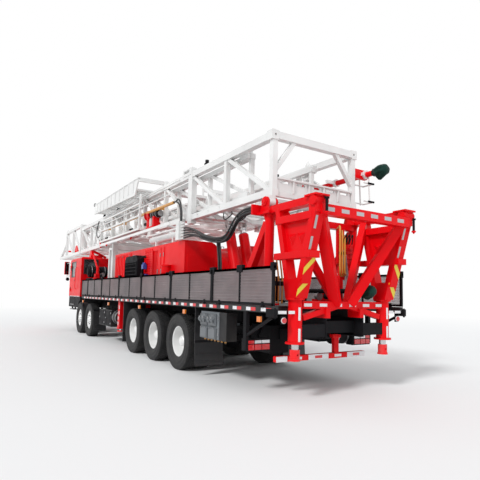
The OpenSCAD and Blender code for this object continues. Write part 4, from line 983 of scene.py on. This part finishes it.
def make_bumper_tapes():
    """White and red blocks along the rear bar, each with a smaller one of the other colour."""
    form = bmesh.new()
    face, z = 0.5195, 0.5915
    ends = [1.030, 0.802, 0.344, -0.114, -0.572, -1.030]
    for k, (left, right) in enumerate(zip(ends, ends[1:])):
        middle = (left + right) / 2
        if k % 2 == 0:
            add_tape(form, at(face, middle, z), RIGHTWARD, UP, left - right, 0.090, 1)
        if k:
            add_tape(form, at(face - TAPE_T, middle, z), RIGHTWARD, UP, 0.165, 0.046, k % 2)
    piece("bumper_tape", form, "white_paint", ["tape_red", "tape_white"])


def make_deck_tapes():
    for name, side in SIDES.items():
        form = bmesh.new()
        x = DECK_REAR + 0.08
        while x < DECK_FRONT - 0.3:
            for finish in (0, 1):
                y = side * (DECK_HALF_W + 0.001)
                place = (x + 0.065 + 0.14 * finish, y, DECK_TOP - 0.056)
                add_tape(form, place, (-side, 0, 0), UP, 0.13, 0.055, finish)
            x += 0.42
        piece(f"deck_tape_{name}", form, "red_paint", ["tape_red", "tape_white"])


# Lamps, bumper, flaps and boxes under the deck

SIDE_MARKERS_X = (0.379, 3.109, 5.862, 8.752, 12.240)
FRONT_FLAP_X = 10.780
# Forward place, inner and outer side, bottom and top of each flap
FLAPS = [
    (2.690, 0.78, 1.42, 0.20, 0.72),
    (FRONT_FLAP_X, 0.96, 1.42, 0.24, 1.00),
    (7.370, 0.78, 1.42, 0.22, 0.56),
]


def make_rear_bar():
    """The red bar with its post under the frame, and the black arms that carry the tail lamps."""
    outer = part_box("rear_bumper")[1].y
    form = bmesh.new()
    blocks(
        form,
        (0.520, -1.030, 0.545, 0.606, 1.030, 0.638),
        (0.530, -0.375, 0.630, 0.600, -0.265, 0.960),
        (0.520, -0.420, 0.900, 0.612, -0.220, 0.965),
    )
    for y in (-0.35, -0.29):
        rods(form, (0.510, y, 0.932, 0.622, y, 0.932, 0.020, 6))
    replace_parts(piece("rear_bar", form, "red_paint", round_edges=0.006), "rear_bumper")
    form = bmesh.new()
    blocks(form, (0.600, -0.430, 0.880, 0.690, 0.430, 0.960))
    blocks(
        form,
        (0.760, 1.400, 0.740, 0.850, outer, 1.365),
        (0.755, 0.965, 0.715, 0.930, 1.440, 0.915),
        sides=BOTH,
    )
    bars(
        form,
        (0.800, 1.440, 0.960, 0.090, 1.440, 1.300, 0.035, 0.045),
        (0.845, 1.20, 0.90, 1.150, 0.90, 1.060, 0.040, 0.050),
        sides=BOTH,
    )
    piece("lamp_arms", form, "black_steel", round_edges=0.005)
    form = bmesh.new()
    red, amber, clear, white = range(4)
    start = 1.420
    for width, upper in ((0.11, red), (0.13, clear), (0.15, clear)):
        end = start - width
        blocks(form, (0.741, start, 0.735, 0.756, end, 0.825), sides=BOTH)
        blocks(form, (0.743, start, 0.840, 0.756, end, 0.890), sides=BOTH, finish=upper)
        start = end - 0.014
    # Round lamp under the deck's rear edge, and the side markers below its edge
    rods(form, (0.0, 1.298, 1.255, -0.020, 1.298, 1.255, 0.094, 24), sides=BOTH, finish=clear)
    rods(form, (-0.018, 1.298, 1.255, -0.032, 1.298, 1.255, 0.080, 24), sides=BOTH)
    for x in SIDE_MARKERS_X:
        blocks(form, (x - 0.05, 1.452, 1.215, x + 0.05, 1.492, 1.300), sides=BOTH, finish=amber)
    for y0, y1 in ((1.40, 1.24), (1.20, 1.08)):
        blocks(form, (-0.004, y0, 1.352, 0.004, y1, 1.400), sides=BOTH, finish=white)
    finishes = ["lens_red", "lens_amber", "lens_clear", "tape_white"]
    piece("lamp_lenses", form, "red_paint", finishes, round_edges=0.003)
    form = bmesh.new()
    blocks(
        form,
        (0.0, 1.25, 1.20, 0.020, 1.345, 1.32),
        (-0.045, 1.440, 1.300, 0.170, 1.500, 1.425),
        *((x - 0.06, 1.440, 1.205, x + 0.06, 1.460, 1.310) for x in SIDE_MARKERS_X),
        sides=BOTH,
    )
    rods(form, (-0.02, 1.47, 1.28, -0.02, 1.47, 1.44, 0.035), sides=BOTH)
    piece("lamp_backs", form, "black_steel", round_edges=0.003)


def make_flaps():
    """Plain rubber flaps behind the wheels, bolted through a strip."""
    form = bmesh.new()
    for x, y0, y1, z0, z1 in FLAPS:
        section = ((0, y0), (0, y1), (0.010, y1), (0.010, y0))
        for side in BOTH:
            rings = []
            for share in (k / 10 for k in range(11)):
                back, z = x - 0.035 * share**2, z1 + (z0 - z1) * share
                rings.append([at(back + out, side * y, z) for out, y in section])
            add_skin(form, rings)
        strip = (x - 0.008, y0, z1 - 0.06, x + 0.018, y1, z1 - 0.015)
        blocks(form, strip, sides=BOTH, finish=1)
        z = z1 - 0.037
        for k in range(5):
            y = y0 + 0.06 + k * (y1 - y0 - 0.12) / 4
            rods(form, (x - 0.018, y, z, x - 0.006, y, z, 0.022, 6), sides=BOTH, finish=1)
        edge = 0.1 * (y1 - y0)
        for z in (z0 + 0.08, z0 + 0.22):
            blocks(form, (x - 0.040, y0 + edge, z, x - 0.026, y1 - edge, z + 0.012), sides=BOTH)
    x = FRONT_FLAP_X + 0.02
    rods(form, (x, 0.45, 0.985, x, 1.42, 0.985, 0.045), sides=BOTH, finish=1)
    bmesh.ops.recalc_face_normals(form, faces=form.faces)
    piece("mud_flaps", form, "rubber", ["rubber", "black_steel"])


def make_sockets():
    """Grey socket housings with hinged lids on the left side box, and cable glands under them."""
    form = bmesh.new()
    for x in (2.315, 1.985):
        for z in (1.150, 0.905):
            blocks(
                form,
                (x - 0.140, 1.395, z - 0.105, x + 0.140, 1.432, z + 0.105),
                (x - 0.120, 1.430, z - 0.085, x + 0.120, 1.445, z + 0.085),
            )
            for hinge in (x - 0.085, x + 0.085):
                rods(form, (hinge, 1.440, z + 0.095, hinge, 1.456, z + 0.095, 0.022, 8), finish=1)
        for plug in (x - 0.065, x + 0.065):
            rods(
                form,
                (plug, 1.440, 1.165, plug, 1.480, 1.140, 0.085, 20),
                (plug, 1.478, 1.141, plug, 1.490, 1.133, 0.100, 20),
            )
            blocks(form, (plug - 0.025, 1.480, 1.17, plug + 0.025, 1.497, 1.21), finish=1)
    for k in range(7):
        x = 1.62 + 0.13 * k
        rods(form, (x, 1.34, 0.792, x, 1.34, 0.755, 0.040, 12), finish=2)
        rods(form, (x, 1.34, 0.757, x, 1.34, 0.735, 0.022, 8), finish=3)
    blocks(form, (1.752, 1.398, 0.800, 1.830, 1.412, 1.290))
    for z in (0.90, 1.19):
        blocks(form, (1.765, 1.410, z - 0.03, 1.790, 1.424, z + 0.03), finish=1)
    finishes = ["grey_steel", "bare_steel", "yellow_paint", "rubber"]
    piece("socket_boxes", form, "grey_steel", finishes, round_edges=0.004)


def make_tank_bands():
    """Straps round the tanks, box doors with their latches, and air tanks between the axles."""
    form = bmesh.new()
    for x in (8.22, 8.50):
        rods(form, (x - 0.02, 1.180, 0.850, x + 0.02, 1.180, 0.850, 0.452, 40), finish=1)
    for side, x0, x1, z0, z1 in ((1, 8.62, 10.03, 0.56, 1.04), (-1, 8.62, 10.58, 0.56, 1.16)):
        middle, here = (x0 + x1) / 2, {"sides": (side,)}
        for a, b in ((x0, middle - 0.01), (middle + 0.01, x1)):
            blocks(form, (a, 1.398, z0, b, 1.408, z1), **here)
            for z in (z0 + 0.08, z1 - 0.08):
                hinge = (a + 0.04, 1.400, z - 0.025, a + 0.10, 1.416, z + 0.025)
                blocks(form, hinge, finish=1, **here)
            x, z = b - 0.08, (z0 + z1) / 2
            rods(form, (x, 1.404, z, x, 1.424, z, 0.05, 20), finish=1, **here)
    for x in (4.33, 5.82):
        rods(form, (x - 0.10, 0.60, 0.86, x + 0.10, 0.60, 0.86, 0.24, 28), sides=BOTH)
    piece("tank_straps", form, "black_steel", ["black_steel", "bare_steel"], round_edges=0.003)


# Cab: doors' windows and handles, mirrors, lamps, steps and wipers


def make_cab_doors():
    for name, side in SIDES.items():
        body, here = f"cab_door_{name}", {"sides": (side,)}
        form = bmesh.new()
        blocks(form, (14.162, 1.3775, 2.252, 14.988, 1.3835, 2.858), **here)
        piece(f"door_glass_{name}", form, "window_glass", body=body)
        form = bmesh.new()
        ring(form, "y", 1.392, (14.13, 2.22), (15.02, 2.89), 0.035, 0.022, **here)
        # Opaque dark rubber sheets on both faces of the door's own pane: painted shade that stands
        # for the dim cab inside seen through the glass
        for y in (1.3748, 1.3635):
            blocks(form, (14.158, y, 2.248, 14.992, y + 0.0016, 2.862), **here)
        blocks(form, (14.19, 1.395, 2.055, 14.36, 1.404, 2.125), **here)
        bars(form, (14.20, 1.425, 2.10, 14.35, 1.425, 2.10, 0.020, 0.022), **here)
        for x in (14.205, 14.345):
            rods(form, (x, 1.400, 2.10, x, 1.426, 2.10, 0.018, 10), **here)
        rods(form, (14.26, 1.402, 2.03, 14.26, 1.410, 2.03, 0.030), finish=1, **here)
        for z in (1.75, 2.60):
            rods(form, (15.085, 1.405, z - 0.06, 15.085, 1.405, z + 0.06, 0.035), **here)
        piece(f"door_trim_{name}", form, "rubber", ["rubber", "bare_steel"], body, 0.003)


def make_cab_outside():
    seals, rails, mirrors, lamps = (bmesh.new() for _ in range(4))
    ring(seals, "x", 13.195, (0.735, 2.335), (1.305, 2.945), 0.045, 0.030, BOTH)
    # Mirror: red shell with black glass facing the rear, on a white bracket rail
    blocks(mirrors, (15.860, 1.335, 2.380, 15.950, 1.545, 2.960), sides=BOTH)
    for z0, z1 in ((2.500, 2.940), (2.395, 2.485)):
        blocks(mirrors, (15.850, 1.350, z0, 15.862, 1.530, z1), sides=BOTH, finish=1)
    outline = [(0.0, 0.0), (0.055, 0.010), (0.075, 0.035), (0.078, 0.055), (0.0, 0.055)]
    knob(mirrors, outline, (15.80, 1.42, 2.170), 1, 20, BOTH, 2)
    for z in (2.30, 2.86):
        arm = [(15.28, 1.39, z), (15.55, 1.46, z + 0.02), (15.90, 1.44, z + 0.02)]
        tube(rails, 0.026, arm, sides=BOTH)
    rods(
        rails,
        (15.90, 1.42, 2.14, 15.90, 1.42, 2.90, 0.024),
        (15.45, 1.425, 2.24, 15.45, 1.425, 2.92, 0.034),
        (15.45, 1.36, 2.30, 15.45, 1.425, 2.30, 0.040),
        (15.45, 1.36, 2.88, 15.45, 1.425, 2.88, 0.040),
        sides=BOTH,
    )
    blocks(rails, (15.38, 1.395, 2.32, 15.53, 1.415, 2.76), sides=BOTH)
    # Wiper, head lamps, turn lamp, grab bar beside the door
    tube(seals, 0.016, [(15.375, 0.35, 2.14), (15.41, 0.45, 2.20), (15.40, 0.95, 2.60)], sides=BOTH)
    bars(seals, (15.392, 0.62, 2.72, 15.392, 1.12, 2.44, 0.018, 0.012), sides=BOTH)
    outline = [(0.0, 0.012), (0.075, 0.008), (0.094, -0.004), (0.100, -0.02), (0.0, -0.02)]
    for y in (0.78, 1.02):
        knob(lamps, outline, (15.365, y, 1.62), -1, sides=BOTH)
        ring(seals, "x", 15.362, (y - 0.115, 1.505), (y + 0.115, 1.735), 0.015, 0.022, BOTH)
    blocks(lamps, (15.350, 1.17, 1.52, 15.372, 1.33, 1.72), sides=BOTH, finish=1)
    bar = [(13.92, 1.385, 1.75), (13.92, 1.46, 1.80), (13.92, 1.46, 2.55), (13.92, 1.385, 2.60)]
    tube(mirrors, 0.028, bar, sides=BOTH)
    for k in range(7):
        z = 1.50 + 0.065 * k
        blocks(seals, (15.352, -0.60, z, 15.368, 0.60, z + 0.025))
    piece("cab_seals", seals, "rubber", round_edges=0.004)
    piece("cab_rails", rails, "white_paint", round_edges=0.003)
    finishes = ["red_paint", "mirror", "black_steel"]
    piece("cab_mirrors", mirrors, "red_paint", finishes, round_edges=0.012)
    piece("cab_lamps", lamps, "window_glass", ["lens_clear", "lens_amber"])
    form = bmesh.new()
    for k in range(7):
        x = 13.30 + 0.27 * k
        blocks(form, (x, 1.400, 1.405, x + 0.13, 1.4045, 1.445), sides=BOTH)
    piece("cab_tapes", form, "white_paint", ["tape_white"])
    form = bmesh.new()
    for z in (0.86, 1.06):
        blocks(form, (14.28, 1.185, z, 14.90, 1.420, z + 0.03), sides=BOTH, finish=1)
        for k in range(9):
            x = 14.33 + 0.065 * k
            tooth = (x, 1.20, z + 0.028, x + 0.02, 1.41, z + 0.038)
            blocks(form, tooth, sides=BOTH, finish=1)
    for x in (14.30, 14.86):
        bars(form, (x, 1.30, 0.86, x, 1.36, 1.10, 0.025, 0.06), sides=BOTH)
    blocks(form, (12.62, 1.386, 0.99, 13.20, 1.392, 1.20), sides=BOTH)
    piece("cab_steps", form, "black_steel", ["black_steel", "bare_steel"], round_edges=0.004)


# What stands on the deck between the cab and the mast rest, and beside the engine house


def make_deck_machines():
    dark, red, steel, blue = (bmesh.new() for _ in range(4))
    # Air cleaner, oil tank, cooler with its slats, and their pipes behind the cab
    blocks(
        dark,
        (12.30, 0.62, 1.49, 13.02, 1.24, 2.16),
        (11.62, 0.40, 1.49, 12.05, 0.92, 1.93),
        (12.28, -0.60, 1.49, 12.42, 0.50, 2.86),
        (12.24, -0.62, 1.49, 12.44, -0.57, 2.90),
        (12.24, 0.46, 1.49, 12.44, 0.52, 2.90),
        (11.10, -0.95, 1.49, 12.80, -0.25, 1.84),
        *((12.255, -0.55, 1.58 + 0.105 * k, 12.285, 0.45, 1.625 + 0.105 * k) for k in range(12)),
    )
    rods(
        dark,
        (12.72, 0.52, 2.42, 12.72, 1.22, 2.42, 0.44, 36),
        (12.72, 1.22, 2.42, 12.72, 1.26, 2.42, 0.30, 28),
        (12.52, 0.30, 1.49, 12.52, 0.30, 2.86, 0.17, 24),
        (12.52, 0.30, 2.20, 12.52, 0.30, 2.75, 0.27, 28),
    )
    for y in (0.62, 0.87, 1.12):
        rods(dark, (12.72, y - 0.012, 2.42, 12.72, y + 0.012, 2.42, 0.46, 36), finish=1)
    pipe = [(12.72, 0.55, 2.42), (12.72, 0.28, 2.42), (12.60, 0.12, 2.10), (12.60, 0.10, 1.49)]
    tube(dark, 0.12, pipe, 14)
    pipe = [(12.10, 1.10, 1.50), (12.02, 1.12, 1.95), (12.14, 1.08, 2.34), (12.44, 1.02, 2.40)]
    tube(dark, 0.055, pipe, 10)
    pipe = [(11.85, 0.95, 1.50), (11.80, 1.00, 2.05), (12.0, 0.90, 2.30), (12.3, 0.80, 2.05)]
    tube(dark, 0.040, pipe, 10)
    rods(
        red,
        (12.10, 1.02, 2.50, 13.22, 0.95, 3.16, 0.075, 20),
        (12.10, 1.02, 2.30, 12.10, 1.02, 2.62, 0.11, 20),
        (11.86, 1.16, 1.98, 11.86, 1.16, 2.16, 0.13, 24),
    )
    blocks(
        red,
        (13.28, 0.55, 3.03, 13.34, 1.02, 3.14),
        (12.02, 0.96, 2.16, 12.22, 1.12, 2.32),
    )
    bars(red, (13.31, 0.40, 3.05, 13.31, 0.93, 3.30, 0.06, 0.09))
    rods(steel, (12.24, 0.78, 2.30, 12.34, 0.78, 2.30, 0.16, 24))
    gauge = [(0.0, 0.0), (0.060, 0.0), (0.070, 0.012), (0.070, 0.05), (0.058, 0.06), (0.0, 0.06)]
    knob(steel, gauge, (12.20, 1.14, 2.06), steps=28)
    blocks(blue, (12.20, 1.02, 1.98, 12.36, 1.13, 2.12))
    # Red valve body with its black cap, on the engine house's side
    rods(
        red,
        (4.78, 1.21, 1.49, 4.78, 1.21, 2.24, 0.11, 24),
        (4.78, 1.21, 2.10, 4.78, 1.21, 2.30, 0.26, 32),
        (4.78, 1.21, 2.28, 4.78, 1.21, 2.32, 0.30, 32),
    )
    rods(
        dark,
        (4.60, 1.21, 2.13, 4.60, 1.21, 2.06, 0.18, 24),
        (4.60, 1.21, 1.95, 4.60, 1.21, 2.08, 0.13, 24),
    )
    # Blue pump and lines behind the radiator
    blocks(blue, (6.24, 1.18, 2.27, 6.38, 1.29, 2.40))
    rods(
        blue,
        (6.31, 1.235, 2.39, 6.31, 1.235, 2.45, 0.09, 24),
        (6.02, 1.25, 2.05, 6.26, 1.25, 2.05, 0.16, 28),
        (6.24, 1.25, 2.05, 6.28, 1.25, 2.05, 0.20, 28),
    )
    tube(dark, 0.04, [(6.12, 1.26, 1.49), (6.10, 1.27, 1.85), (6.20, 1.27, 2.05)], 10)
    tube(dark, 0.05, [(6.40, 1.24, 1.49), (6.42, 1.27, 1.95), (6.33, 1.26, 2.30)], 10)
    # Bars in front of the radiator's core, filler cap and hose
    for k in range(9):
        z = 1.62 + 0.10 * k
        blocks(dark, (6.62, 1.346, z, 7.58, 1.362, z + 0.022))
    for x in (6.60, 7.58):
        blocks(dark, (x, 1.340, 1.56, x + 0.03, 1.366, 2.50))
    rods(steel, (7.10, 1.25, 2.655, 7.10, 1.25, 2.700, 0.09, 20))
    tube(dark, 0.07, [(6.56, 1.22, 2.58), (6.44, 1.20, 2.62), (6.40, 1.12, 2.60)], 12)
    finishes = ["black_steel", "bare_steel"]
    piece("deck_machines_dark", dark, "black_steel", finishes, round_edges=0.008)
    piece("deck_machines_red", red, "red_paint", round_edges=0.006)
    piece("deck_gauges", steel, "grey_steel", ["bare_steel"], round_edges=0.002)
    piece("deck_machines_blue", blue, "grey_steel", ["blue_paint"], round_edges=0.008)
    # Door frames, hinges, handles, louvres and lifting eyes of the engine house
    form, metal = bmesh.new(), bmesh.new()
    for x0, x1 in ((5.10, 5.29), (5.32, 5.52)):
        ring(form, "y", 1.158, (x0 - 0.005, 1.60), (x1 + 0.005, 2.78), 0.018, 0.016, BOTH)
        blocks(metal, (x1 - 0.06, 1.160, 2.12, x1 - 0.03, 1.182, 2.24), sides=BOTH)
        x = x0 + 0.005
        for z in (1.75, 2.60):
            rods(metal, (x, 1.170, z - 0.05, x, 1.170, z + 0.05, 0.022), sides=BOTH)
    ring(form, "y", 1.158, (5.86, 1.70), (6.50, 2.76), 0.022, 0.016, BOTH)
    for k in range(16):
        z = 1.74 + 0.063 * k
        bars(form, (5.88, 1.165, z, 6.48, 1.165, z, 0.008, 0.040), sides=BOTH)
    ring(form, "y", 1.158, (7.75, 1.60), (9.25, 2.78), 0.020, 0.016, BOTH)
    for x in (7.80, 8.50, 9.20):
        rods(metal, (x, 1.155, 2.74, x, 1.185, 2.74, 0.030, 12), sides=BOTH)
    for x in (5.4, 6.8, 8.9):
        ring(metal, "x", x, (0.65, 2.88), (0.75, 2.97), 0.018, 0.018, BOTH)
    piece("house_frames", form, "red_paint", round_edges=0.003)
    piece("house_fittings", metal, "grey_steel", ["bare_steel"], round_edges=0.002)


# Rear frame: hanging pins, pipes, panel, and what is under the deck's end


def make_rear_frame_parts():
    dark, red, yellow, steel = (bmesh.new() for _ in range(4))
    for x, y, z in ((-0.565, 0.962, 3.07), (-0.500, -1.127, 2.99)):
        rods(
            dark,
            (x, y, z, x, y, z - 0.20, 0.042),
            (x, y, z + 0.015, x, y, z - 0.01, 0.075),
        )
        rods(
            red,
            (x, y, z - 0.20, x, y, z - 0.225, 0.075),
            (x, y, z - 0.22, x, y, z - 0.255, 0.055, 16, 0.01),
        )
        tube(dark, 0.012, [(x, y, z), (x + 0.02, y + 0.01, z + 0.02), (x + 0.06, y, z + 0.03)], 6)
    # Ribbed cover and pipes seen through the frame
    blocks(
        red,
        (0.72, -0.90, 1.95, 0.77, -0.60, 2.62),
        (0.71, -0.92, 1.50, 0.78, -0.84, 2.64),
        (0.71, -0.66, 1.50, 0.78, -0.58, 2.64),
        *((0.690, -0.89, 1.99 + 0.09 * k, 0.725, -0.61, 2.02 + 0.09 * k) for k in range(7)),
    )
    for k, y in enumerate((-0.37, -0.43, -0.49)):
        top = 2.84 - 0.08 * k
        pipe = [(0.71, -0.63, 2.02), (0.56, y - 0.08, 2.02), (0.50, y, 2.14), (0.50, y, top)]
        tube(yellow, 0.034, pipe + [(0.58, y - 0.05, top + 0.08), (0.72, y - 0.14, top + 0.06)], 10)
        rods(dark, (0.50, y, 2.40, 0.50, y, 2.45, 0.052, 6))
    bars(red, (0.74, -0.52, 2.60, 0.74, -0.70, 2.60, 0.05, 0.70))
    for y in (-0.56, -0.61):
        pipe = [(0.55, y, 1.50), (0.55, y, 2.00), (0.60, y + 0.02, 2.50)]
        tube(steel, 0.036, pipe, 10, finish=1)
    for y in (-0.46, -0.54, -0.62):
        pipe = [(0.52, y, 2.60), (0.50, y - 0.04, 2.74), (0.54, y - 0.12, 2.78)]
        tube(dark, 0.022, pipe + [(0.60, y - 0.16, 2.62)])
    for y in (0.60, 0.68, 0.76):
        tube(yellow, 0.030, [(0.95, y, 1.49), (0.95, y, 1.9), (1.02, y, 2.15 + y * 0.2)])
        rods(dark, (0.95, y, 1.80, 0.95, y, 1.88, 0.06, 8))
    # Shaft couplings beside the cloth
    low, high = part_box("rotary_shaft")
    y, z = (low.y + high.y) / 2, (low.z + high.z) / 2
    couplings = ((0.25, 0.10, 0.12, 1), (0.62, 0.26, 0.115, 0), (1.05, 0.08, 0.13, 1))
    for shift, length, size, finish in couplings:
        x = low.x + shift
        if x + length < high.x:
            add_rod(dark, (x, y, z), (x + length, y, z), size, 28, finish=finish)
            add_rod(dark, (x - 0.012, y, z), (x + 0.012, y, z), size * 1.25, 28, finish=1)
    # Tow hook, tanks and boxes under the deck's end
    rods(dark, (0.62, -0.06, 1.30, 0.62, -0.06, 1.02, 0.07))
    rods(dark, (0.62, -0.11, 1.16, 0.62, -0.01, 1.16, 0.15, 28), finish=1)
    hook = [(0.62, -0.06, 1.05), (0.58, -0.06, 0.98), (0.60, -0.02, 0.90), (0.66, 0.0, 0.94)]
    tube(dark, 0.045, hook, 12)
    for y0, y1, x in ((-0.98, -0.62, 1.00), (-1.40, -1.06, 1.05)):
        rods(dark, (x, y0, 0.90, x, y1, 0.90, 0.34, 36))
        for y in (y0 + 0.06, y1 - 0.06):
            rods(dark, (x, y - 0.015, 0.90, x, y + 0.015, 0.90, 0.352, 36), finish=1)
    rods(dark, (1.15, 0.05, 0.90, 1.15, 0.40, 0.90, 0.30, 36))
    blocks(
        dark,
        (0.95, -0.60, 0.86, 2.40, 0.62, 1.05),
        (1.30, -1.30, 0.74, 2.45, -0.60, 1.20),
        (1.00, 0.40, 0.62, 1.60, 0.80, 1.10),
    )
    piece("rear_parts_dark", dark, "black_steel", ["black_steel", "bare_steel"], round_edges=0.005)
    piece("rear_parts_red", red, "red_paint", round_edges=0.004)
    piece("rear_pipes", yellow, "yellow_paint")
    piece("rear_lines", steel, "grey_steel", ["grey_steel", "bare_steel"])


# Mast details: winch on its bracket, rails, lamps, cables


def make_mast_parts():
    dark, red, white = (bmesh.new() for _ in range(3))
    rods(dark, (5.72, 1.06, 3.755, 6.30, 1.06, 3.780, 0.19, 32))
    rods(dark, (5.66, 1.06, 3.752, 5.74, 1.06, 3.756, 0.15, 28), finish=1)
    for x in (5.86, 6.02, 6.18):
        rods(dark, (x - 0.012, 1.06, 3.762, x + 0.012, 1.06, 3.763, 0.205, 32), finish=1)
    rods(
        red,
        (6.30, 1.06, 3.780, 6.55, 1.06, 3.790, 0.25, 32),
        (6.53, 1.06, 3.789, 6.58, 1.06, 3.791, 0.30, 32),
    )
    for x in (5.98, 6.42):
        blocks(red, (x - 0.05, 0.96, 3.42, x + 0.05, 1.16, 3.70))
    blocks(red, (5.92, 0.94, 3.40, 6.50, 1.18, 3.44))
    blocks(dark, (6.56, 1.00, 3.55, 6.86, 1.10, 3.62))
    # Stowed hooks and links along the lower chord
    for x in (8.1, 10.9, 11.7):
        bars(red, (x, 1.055, 3.30, x + 0.12, 1.055, 3.56, 0.035, 0.08))
        rods(dark, (x - 0.10, 1.055, 3.60, x + 0.16, 1.055, 3.60, 0.05))
    rods(white, (4.30, 1.385, 3.96, 10.45, 1.385, 3.96, 0.030))
    for k in range(6):
        x = 4.6 + 1.1 * k
        rods(white, (x, 1.03, 4.43, x + 0.30, 1.36, 4.20, 0.028))
    for x in (4.45, 6.5, 8.5, 10.3):
        blocks(white, (x - 0.03, 1.10, 3.20, x + 0.03, 1.40, 3.235))
    blocks(white, (4.28, 1.385, 3.225, 10.45, 1.397, 3.300))
    # Lamps along the top chords, and a cable inside each side
    for x in (3.2, 9.8, 11.6):
        blocks(dark, (x, 0.93, 4.495, x + 0.10, 1.02, 4.53), sides=BOTH)
        rods(dark, (x + 0.05, 0.975, 4.53, x + 0.05, 0.975, 4.60, 0.085, 20), sides=BOTH)
    cable = [(0.7 + 0.95 * k, 3.46 + 0.045 * math.sin(2.3 * k)) for k in range(2, 12)]
    for side in BOTH:
        add_tube(dark, [at(x, side * 0.985, z) for x, z in cable], 0.020)
    finishes = ["black_steel", "bare_steel"]
    piece("mast_parts_dark", dark, "black_steel", finishes, "mast", 0.004)
    piece("mast_parts_red", red, "red_paint", body="mast", round_edges=0.005)
    piece("mast_parts_white", white, "white_paint", body="mast")
    # Ladder bracket, spire, pipe clamps and hose clips on the mast's rear end
    white, dark = bmesh.new(), bmesh.new()
    for z in (3.900, 3.530):
        rods(
            white,
            (0.68, -1.20, z, 0.68, -1.46, z, 0.030, 12),
            (0.92, -1.20, z, 0.92, -1.46, z, 0.030, 12),
            (0.66, -1.445, z, 0.94, -1.445, z, 0.030, 12),
        )
        rods(dark, (0.66, -1.46, z, 0.66, -1.30, z, 0.040, 12))
    rods(
        white,
        (0.68, -1.36, 3.50, 0.68, -1.33, 4.06, 0.030, 12),
        (0.92, -1.36, 3.50, 0.92, -1.33, 4.06, 0.030, 12),
        (2.0, -0.88, 4.20, 2.0, -0.88, 4.50, 0.12, 24),
        (2.0, -0.88, 4.50, 2.0, -0.88, 4.60, 0.12, 24, 0.03),
    )
    blocks(white, (1.92, -0.98, 4.16, 2.08, -0.80, 4.22))
    for x, end in ((0.72, -1.18), (1.55, -1.00), (2.30, -1.00)):
        rods(white, (x - 0.025, -1.30, 4.08, x + 0.025, -1.30, 4.08, 0.175, 28))
        blocks(white, (x - 0.02, -1.26, 4.05, x + 0.02, end, 4.11))
    for x in (2.55, 3.05, 3.55):
        rods(
            white,
            (x, 0.60, 3.30, x, 1.03, 3.42, 0.030, 12),
            (x + 0.12, 0.70, 3.26, x + 0.02, 1.03, 3.44, 0.024, 12),
        )
    for y in (0.45, 0.80):
        line = [(2.75, y, 3.36), (2.66, y + 0.05, 3.22), (2.50, y + 0.08, 3.18)]
        tube(dark, 0.022, line + [(2.42, y, 3.28), (2.52, y - 0.05, 3.38)])
    piece("mast_brackets", white, "white_paint", body="mast")
    piece("mast_lines", dark, "black_steel", body="mast")
    form = bmesh.new()
    for k in range(4):
        x, z = 11.36 + 0.10 * k, 4.80 + 0.030 * k
        rods(form, (x, 1.05, z, x, 1.38, z + 0.02, 0.13, 24))
    bars(form, (11.30, 1.22, 4.76, 11.78, 1.22, 4.88, 0.06, 0.05))
    piece("board_roll", form, "rubber", body="racking", round_edges=0.01)


# Floor and light

PURE_WHITE = (1, 1, 1, 1)
FLOOR_REACH = 90
# The floor fades into the white between these distances from the rig's middle
FADE_START, FADE_END = 14, 34


def seen_ray(tree):
    """1 for a ray that the camera, a reflection or glass sends, 0 for one that only lights."""
    rays = add_node(tree, "ShaderNodeLightPath").outputs
    either = rays["Is Camera Ray"]
    for kind in ("Is Glossy Ray", "Is Transmission Ray"):
        both = {0: either, 1: rays[kind]}
        either = add_node(tree, "ShaderNodeMath", both, operation="MAXIMUM").outputs[0]
    return either


def mix_shaders(tree, share, first, second):
    inputs = {0: share, 1: first.outputs[0], 2: second.outputs[0]}
    return add_node(tree, "ShaderNodeMixShader", inputs)


def make_floor():
    form = bmesh.new()
    bmesh.ops.create_grid(form, x_segments=8, y_segments=8, size=FLOOR_REACH)
    floor = new_object("floor", mesh_of(form, "floor"))
    material = bpy.data.materials.new("pale_floor")
    material.use_nodes = True
    tree = material.node_tree
    tree.nodes.clear()
    matt = add_node(tree, "ShaderNodeBsdfDiffuse", {"Color": (0.86, 0.86, 0.86, 1)})
    glow = add_node(tree, "ShaderNodeEmission", {"Color": PURE_WHITE})
    place = add_node(tree, "ShaderNodeTexCoord").outputs["Object"]
    away = add_node(tree, "ShaderNodeVectorMath", {0: place}, operation="LENGTH").outputs["Value"]
    limits = {"Value": away, "From Min": FADE_START, "From Max": FADE_END}
    fade = add_node(tree, "ShaderNodeMapRange", limits).outputs["Result"]
    seen = mix_shaders(tree, seen_ray(tree), matt, mix_shaders(tree, fade, matt, glow))
    add_node(tree, "ShaderNodeOutputMaterial", {"Surface": seen.outputs[0]})
    floor.data.materials.append(material)


def make_stage():
    make_floor()
    world = bpy.data.worlds.new("studio")
    bpy.context.scene.world = world
    world.use_nodes = True
    tree = world.node_tree
    tree.nodes.clear()
    soft = {"Color": (0.96, 0.98, 1, 1), "Strength": 0.62}
    light = add_node(tree, "ShaderNodeBackground", soft)
    shown = add_node(tree, "ShaderNodeBackground", {"Color": PURE_WHITE})
    seen = mix_shaders(tree, seen_ray(tree), light, shown)
    add_node(tree, "ShaderNodeOutputWorld", {"Surface": seen.outputs[0]})
    for name, direction, strength, angle in (
        ("key", (0.35, -0.85, -0.75), 1.9, 12),
        ("fill", (0.9, 0.5, -0.6), 0.5, 60),
    ):
        data = bpy.data.lights.new(name, "SUN")
        data.energy = strength
        data.angle = math.radians(angle)
        sun = new_object(name, data)
        sun.rotation_euler = Vector(direction).to_track_quat("-Z", "Y").to_euler()
    bpy.context.scene.view_settings.view_transform = "Standard"


make_camera()
make_bundles()
make_mast_hoses()
make_cloths()
paint_frame()
make_wheels()
for each_side in SIDES:
    make_walkway(each_side)
make_deck_tapes()
make_frame_tapes()
make_bumper_tapes()
make_rear_bar()
make_flaps()
make_sockets()
make_tank_bands()
make_cab_doors()
make_cab_outside()
make_deck_machines()
make_rear_frame_parts()
make_mast_parts()
make_stage()
